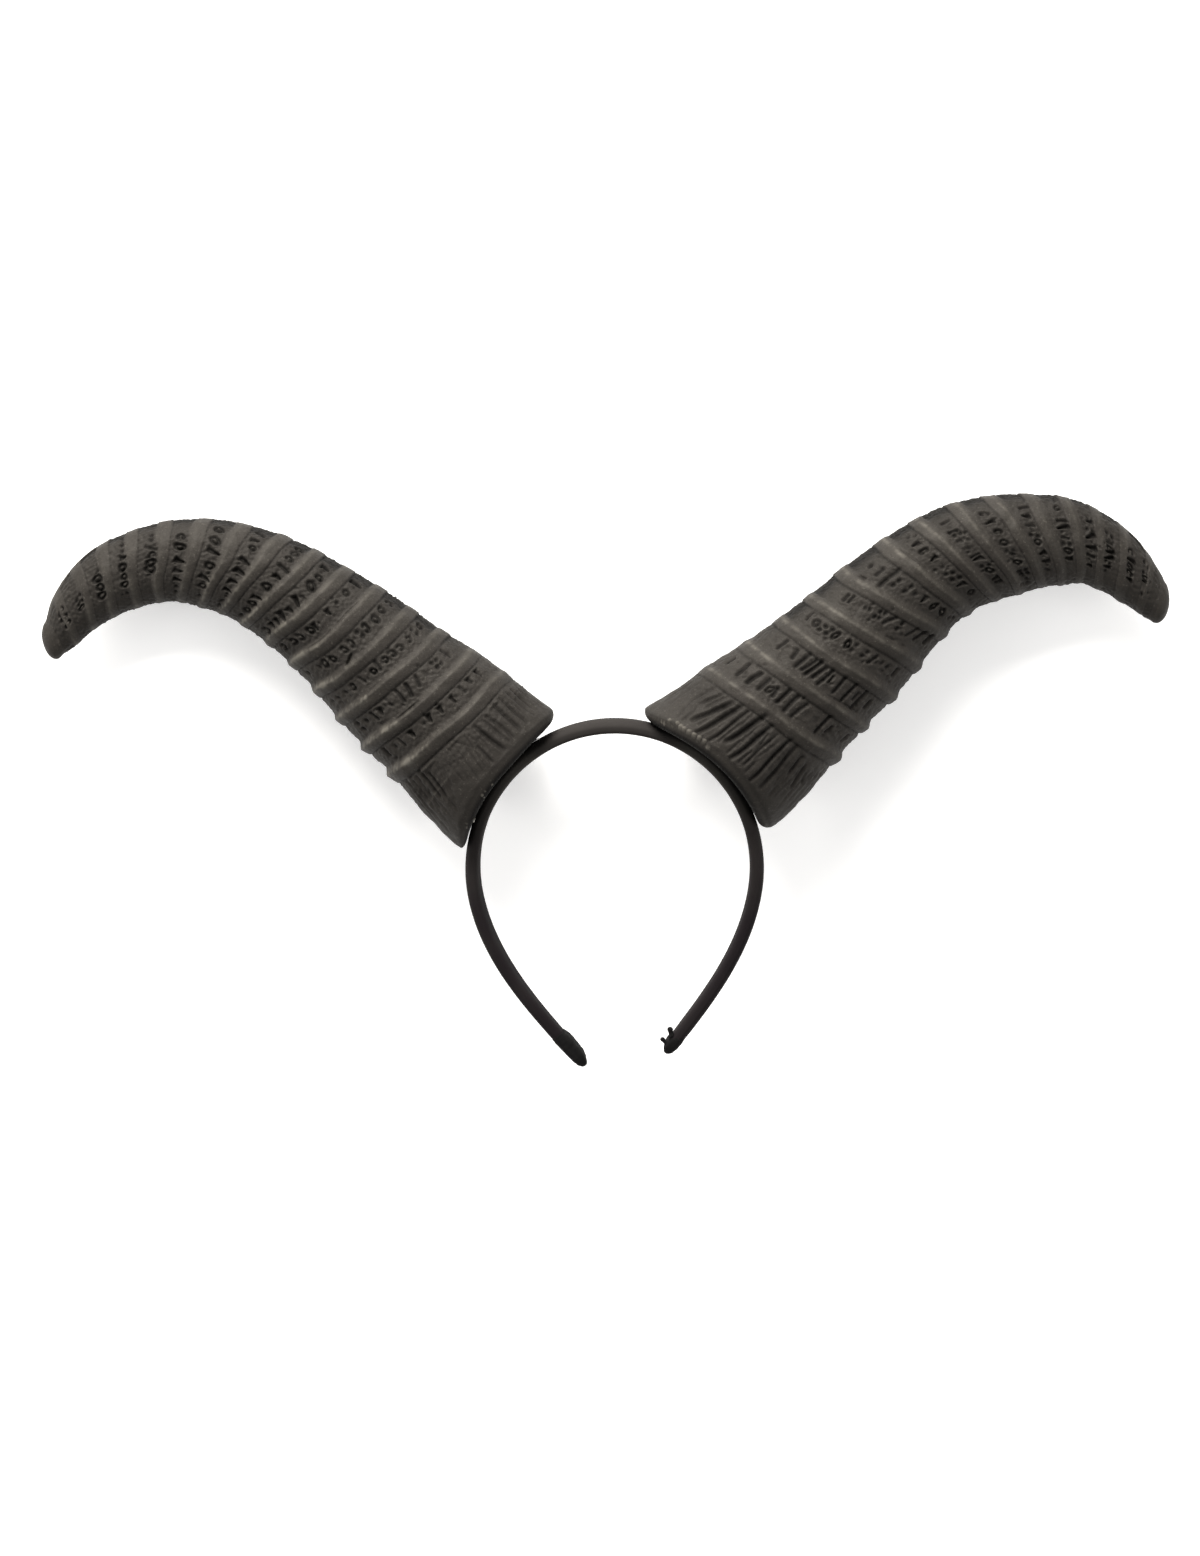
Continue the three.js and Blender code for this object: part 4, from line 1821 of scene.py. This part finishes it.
LEFT_FURROWS = (
    Furrow(2.43, "     v   v   i    v     v    v  .     v    i  .   i     "),
    Furrow(3.42, "      i   : :    s   \\    \\   \\    .    v  i   .  :     "),
    Furrow(4.42, "   o  :   c    c   c   c   \\  o     i    c   .   .  .   "),
    Furrow(5.43, "   c   o    o     c   :     c   c      o   o  .     .   "),
    Furrow(6.42, "    V     o      .     v         v  o     c   c    c    "),
    Furrow(7.36, "     v     o     O      .   V     v    V   v  v   c     ", -0.22),
    Furrow(8.33, "   o  o   c     \\     v       O       v   o    o   .    ", -0.16),
    Furrow(9.4, "   \\   v    o        V      V      v     v      .  .    ", -0.24),
    Furrow(10.4, "      o      O      V        O        V    o     .      ", -0.3),
    Furrow(11.42, "            c     O         V      v     v    .  .      ", -0.3),
    Furrow(12.25, " .      .  .     \\    c    O    O   .                   ", -0.06),
    Furrow(13.2, "   .    .    .   v      O       o    o      .           ", -0.04),
    Furrow(14.2, "                  .     O      O     O                  "),
    Furrow(15.15, "                          :    :   c                    "),
    Furrow(15.9, "                     c      c  .    c                   "),
)
RIGHT_FURROWS = (
    Furrow(2.4, "  i    |    |   |  o \\  |   |   |  s   s  |  i      i   "),
    Furrow(3.43, "     s  \\     \\   |  | |  |  | i   |    |  i |   i      "),
    Furrow(4.45, "      i   o  :  :  o     o  :    :   /   .  .   i       "),
    Furrow(5.43, "          i i    s . .   : :   /    :     /   /   /     ", 0.15),
    Furrow(6.39, "      .    i    |   :     :   .    v     o    o     .   ", 0.08),
    Furrow(7.42, "     .    v    c     v     .    :   :   v     o         "),
    Furrow(8.4, "       i  s  i :   .    .    i v    :  o    v v         ", -0.05),
    Furrow(9.42, "         c    v     c      o    : .    o    : :  . .    ", -0.06),
    Furrow(10.52, "        i    v     i     :   o      v    v    .         ", -0.22),
    Furrow(11.58, "   .    o       i   V      i   :   o    v               ", -0.28),
    Furrow(12.62, "          . v     :   V       V     i      v            ", -0.35),
    Furrow(13.4, "              :     i   c V    V   :  v   .             ", -0.3),
    Furrow(14.15, "               c     V    o    c    v                  "),
    Furrow(14.8, "             :   s    : o   v   s       .               "),
)
LEFT_GROOVES = (
    Groove((0.055, 1.6), (0.05, 0.5), 1.2, 0.6),
    Groove((0.087, 1.62), (0.075, 0.4), 1.2, 0.6),
    Groove((0.138, 1.6), (0.129, 0.35), 1.5, 0.85),
    Groove((0.192, 1.6), (0.183, 0.3), 1.6, 0.95),
    Groove((0.27, 1.5), (0.237, 0.25), 1.5, 0.7),
    Groove((0.31, 1.5), (0.268, 0.3), 1.3, 0.5),
    Groove((0.37, 1.5), (0.32, 0.2), 1.8, 0.95),
    Groove((0.438, 1.0), (0.41, 0.2), 1.5, 0.7),
    Groove((0.5, 1.4), (0.49, 0.2), 1.3, 0.25),
    Groove((0.55, 1.0), (0.545, 0.2), 1.3, 0.25),
    Groove((0.79, 1.45), (0.783, 0.75), 1.6, 1.0),
    Groove((0.783, 0.7), (0.765, 0.3), 1.4, 0.4),
    Groove((0.826, 1.65), (0.82, 0.9), 1.6, 1.0),
    Groove((0.87, 1.6), (0.87, 0.8), 1.3, 0.6),
    Groove((0.905, 1.6), (0.903, 0.9), 1.2, 0.5),
    Groove((0.94, 1.7), (0.937, 0.8), 1.2, 0.5),
    Groove((0.71, 1.61), (0.815, 1.61), 1.0, -0.45),
    Groove((0.16, 1.62), (0.22, 1.61), 1.0, -0.35),
    Groove((0.48, 1.6), (0.58, 1.58), 1.0, -0.25),
    Groove((0.49, 3.03), (0.69, 3.02), 0.9, 0.7),
    Groove((0.56, 4.04), (0.74, 4.03), 0.8, 0.35),
    Groove((0.57, 5.2), (0.66, 5.04), 1.0, 0.8),
    Groove((0.2, 6.03), (0.5, 6.03), 0.8, 0.35),
    Groove((0.52, 6.03), (0.8, 6.02), 0.8, 0.35),
)
RIGHT_GROOVES = (
    Groove((0.125, 1.65), (0.103, 1.0), 1.5, 0.6),
    Groove((0.103, 1.0), (0.134, 0.3), 1.5, 0.5),
    Groove((0.183, 1.67), (0.146, 1.0), 1.5, 0.7),
    Groove((0.145, 0.95), (0.174, 0.3), 1.4, 0.5),
    Groove((0.215, 1.65), (0.19, 1.1), 1.2, 0.5),
    Groove((0.26, 1.6), (0.205, 0.5), 2.2, 1.2),
    Groove((0.317, 1.65), (0.275, 0.15), 2.0, 1.2),
    Groove((0.37, 1.65), (0.353, 0.15), 1.3, 0.85),
    Groove((0.395, 1.2), (0.39, 0.35), 1.1, 0.35),
    Groove((0.462, 1.8), (0.415, 0.55), 2.3, 1.35),
    Groove((0.47, 0.85), (0.464, 0.2), 1.2, 0.4),
    Groove((0.536, 1.7), (0.5, 0.1), 2.0, 1.2),
    Groove((0.554, 0.8), (0.545, 0.2), 1.2, 0.45),
    Groove((0.596, 1.6), (0.571, 0.3), 1.2, 0.65),
    Groove((0.616, 0.7), (0.607, 0.15), 1.2, 0.45),
    Groove((0.678, 1.7), (0.66, 0.1), 1.8, 1.25),
    Groove((0.739, 1.65), (0.732, 0.25), 2.3, 1.1),
    Groove((0.8, 0.8), (0.804, 0.3), 1.5, 0.3),
    Groove((0.808, 1.55), (0.81, 1.05), 1.5, 1.0),
    Groove((0.86, 1.45), (0.872, 0.88), 1.2, 0.8),
    Groove((0.904, 1.2), (0.91, 1.1), 1.4, 0.7),
    Groove((0.64, 3.08), (0.87, 3.13), 0.9, 0.5),
    Groove((0.63, 5.11), (0.7, 5.12), 0.9, 0.5),
    Groove((0.74, 5.1), (0.79, 5.11), 0.9, 0.4),
    Groove((0.135, 6.1), (0.18, 6.11), 1.2, 0.7),
    Groove((0.16, 7.07), (0.44, 7.08), 0.8, 0.45),
)
LEFT_DROPS = (
    Drop(0.5, -0.05, 1.1, 0.9),
    Drop(0.59, -0.03, 1.2, 1.0),
    Drop(0.56, -0.03, 0.9, 0.8),
    Drop(0.6, -0.06, 0.9, 0.8),
    Drop(0.78, -0.095, 1.5, 1.0),
    Drop(0.8, -0.02, 1.0, 0.6),
    Drop(0.828, -0.025, 1.1, 0.8),
)
RIGHT_DROPS = (
    Drop(0.094, -0.005, 1.2, 1),
    Drop(0.107, -0.01, 1.1, 1),
    Drop(0.125, 0.07, 1.7, 0.65),
    Drop(0.165, 0.1, 1.7, 0.65),
    Drop(0.19, 0.06, 1.9, 0.7),
    Drop(0.213, 0.02, 2.1, 0.75),
    Drop(0.245, 0, 2.1, 0.75),
    Drop(0.275, 0, 2, 0.8),
    Drop(0.305, 0, 1.9, 0.7),
    Drop(0.337, 0, 1.8, 0.65),
    Drop(0.371, -0.005, 2.1, 0.8),
)
RIGHT_TATTERS = (
    Tatter((21.9, -72.8, 3.2), 110, -25, 5.0, 2.7),
    Tatter((19.9, -75.9, 3.0), 142, -30, 4.4, 2.2),
    Tatter((20.0, -77.0, 3.6), 185, 40, 1.8, 1.6),
    Tatter((21.0, -74.2, 3.8), 75, 60, 2.6, 1.6),
)
LEFT_LUMPS = (
    Lump(52.6, 62.9, 6.6, 1.3),
    Lump(54.2, 63.3, 6.9, 0.8),
    Lump(59.0, 63.6, 6.3, 1.4),
    Lump(60.6, 63.4, 6.6, 0.9),
    Lump(68.2, 63.0, 6.2, 1.3),
    Lump(72.4, 64.3, 5.6, 1.1),
)
RIGHT_LUMPS = (
    Lump(19.5, 63.9, 6.2, 1.1),
    Lump(27.2, 63.4, 6.4, 0.9),
)


def main() -> None:
    """Build every piece, the studio and the camera."""
    logging.basicConfig(level=logging.INFO, format="%(message)s")
    foam = FoamFinish().material("horn_foam")
    cloth = ClothFinish().material("band_cloth")
    left = Horn(
        side=Side.LEFT,
        rings=LEFT_RINGS,
        seat_across=69,
        furrows=LEFT_FURROWS,
        grooves=LEFT_GROOVES,
        drops=LEFT_DROPS,
        corner_lift=3.2,
        corner_sink=0.55,
        crease=0.35,
        slope=0.17,
        # painted highlight on the side of the ribs that faces the light
        lit_side_highlight=0.9,
        seed=11,
    )
    left.build(foam)
    right = Horn(
        side=Side.RIGHT,
        rings=RIGHT_RINGS,
        seat_across=73,
        furrows=RIGHT_FURROWS,
        grooves=RIGHT_GROOVES,
        drops=RIGHT_DROPS,
        corner_lift=0,
        corner_sink=0,
        crease=0.31,
        slope=0.2,
        # painted highlight on the side of the ribs that faces the light
        lit_side_highlight=0.3,
        seed=23,
    )
    right.build(foam)
    band = Headband()
    band.build(cloth)
    tab_finish = ClothFinish(
        colour=(0.006, 0.0058, 0.0058),
        worn=(0.011, 0.0107, 0.0105),
        roughness=0.85,
    )
    tab_cloth = tab_finish.material("tab_cloth")
    EndCover(band, Side.LEFT, length=18, fold=0.8, ragged=0.5).build(tab_cloth)
    EndCover(band, Side.RIGHT, length=9, fold=0.6, ragged=1.4, tatters=RIGHT_TATTERS).build(tab_cloth)
    glue = GlueFinish().material("glue")
    GlueBead(Side.LEFT, LEFT_LUMPS).build(glue)
    GlueBead(Side.RIGHT, RIGHT_LUMPS).build(glue)
    studio = Studio()
    studio.floor(FloorFinish().material("floor"))
    studio.light()
    studio.camera((SOLID_BOX[0] + SOLID_BOX[1]) / 2)


if __name__ == "__main__":
    main()
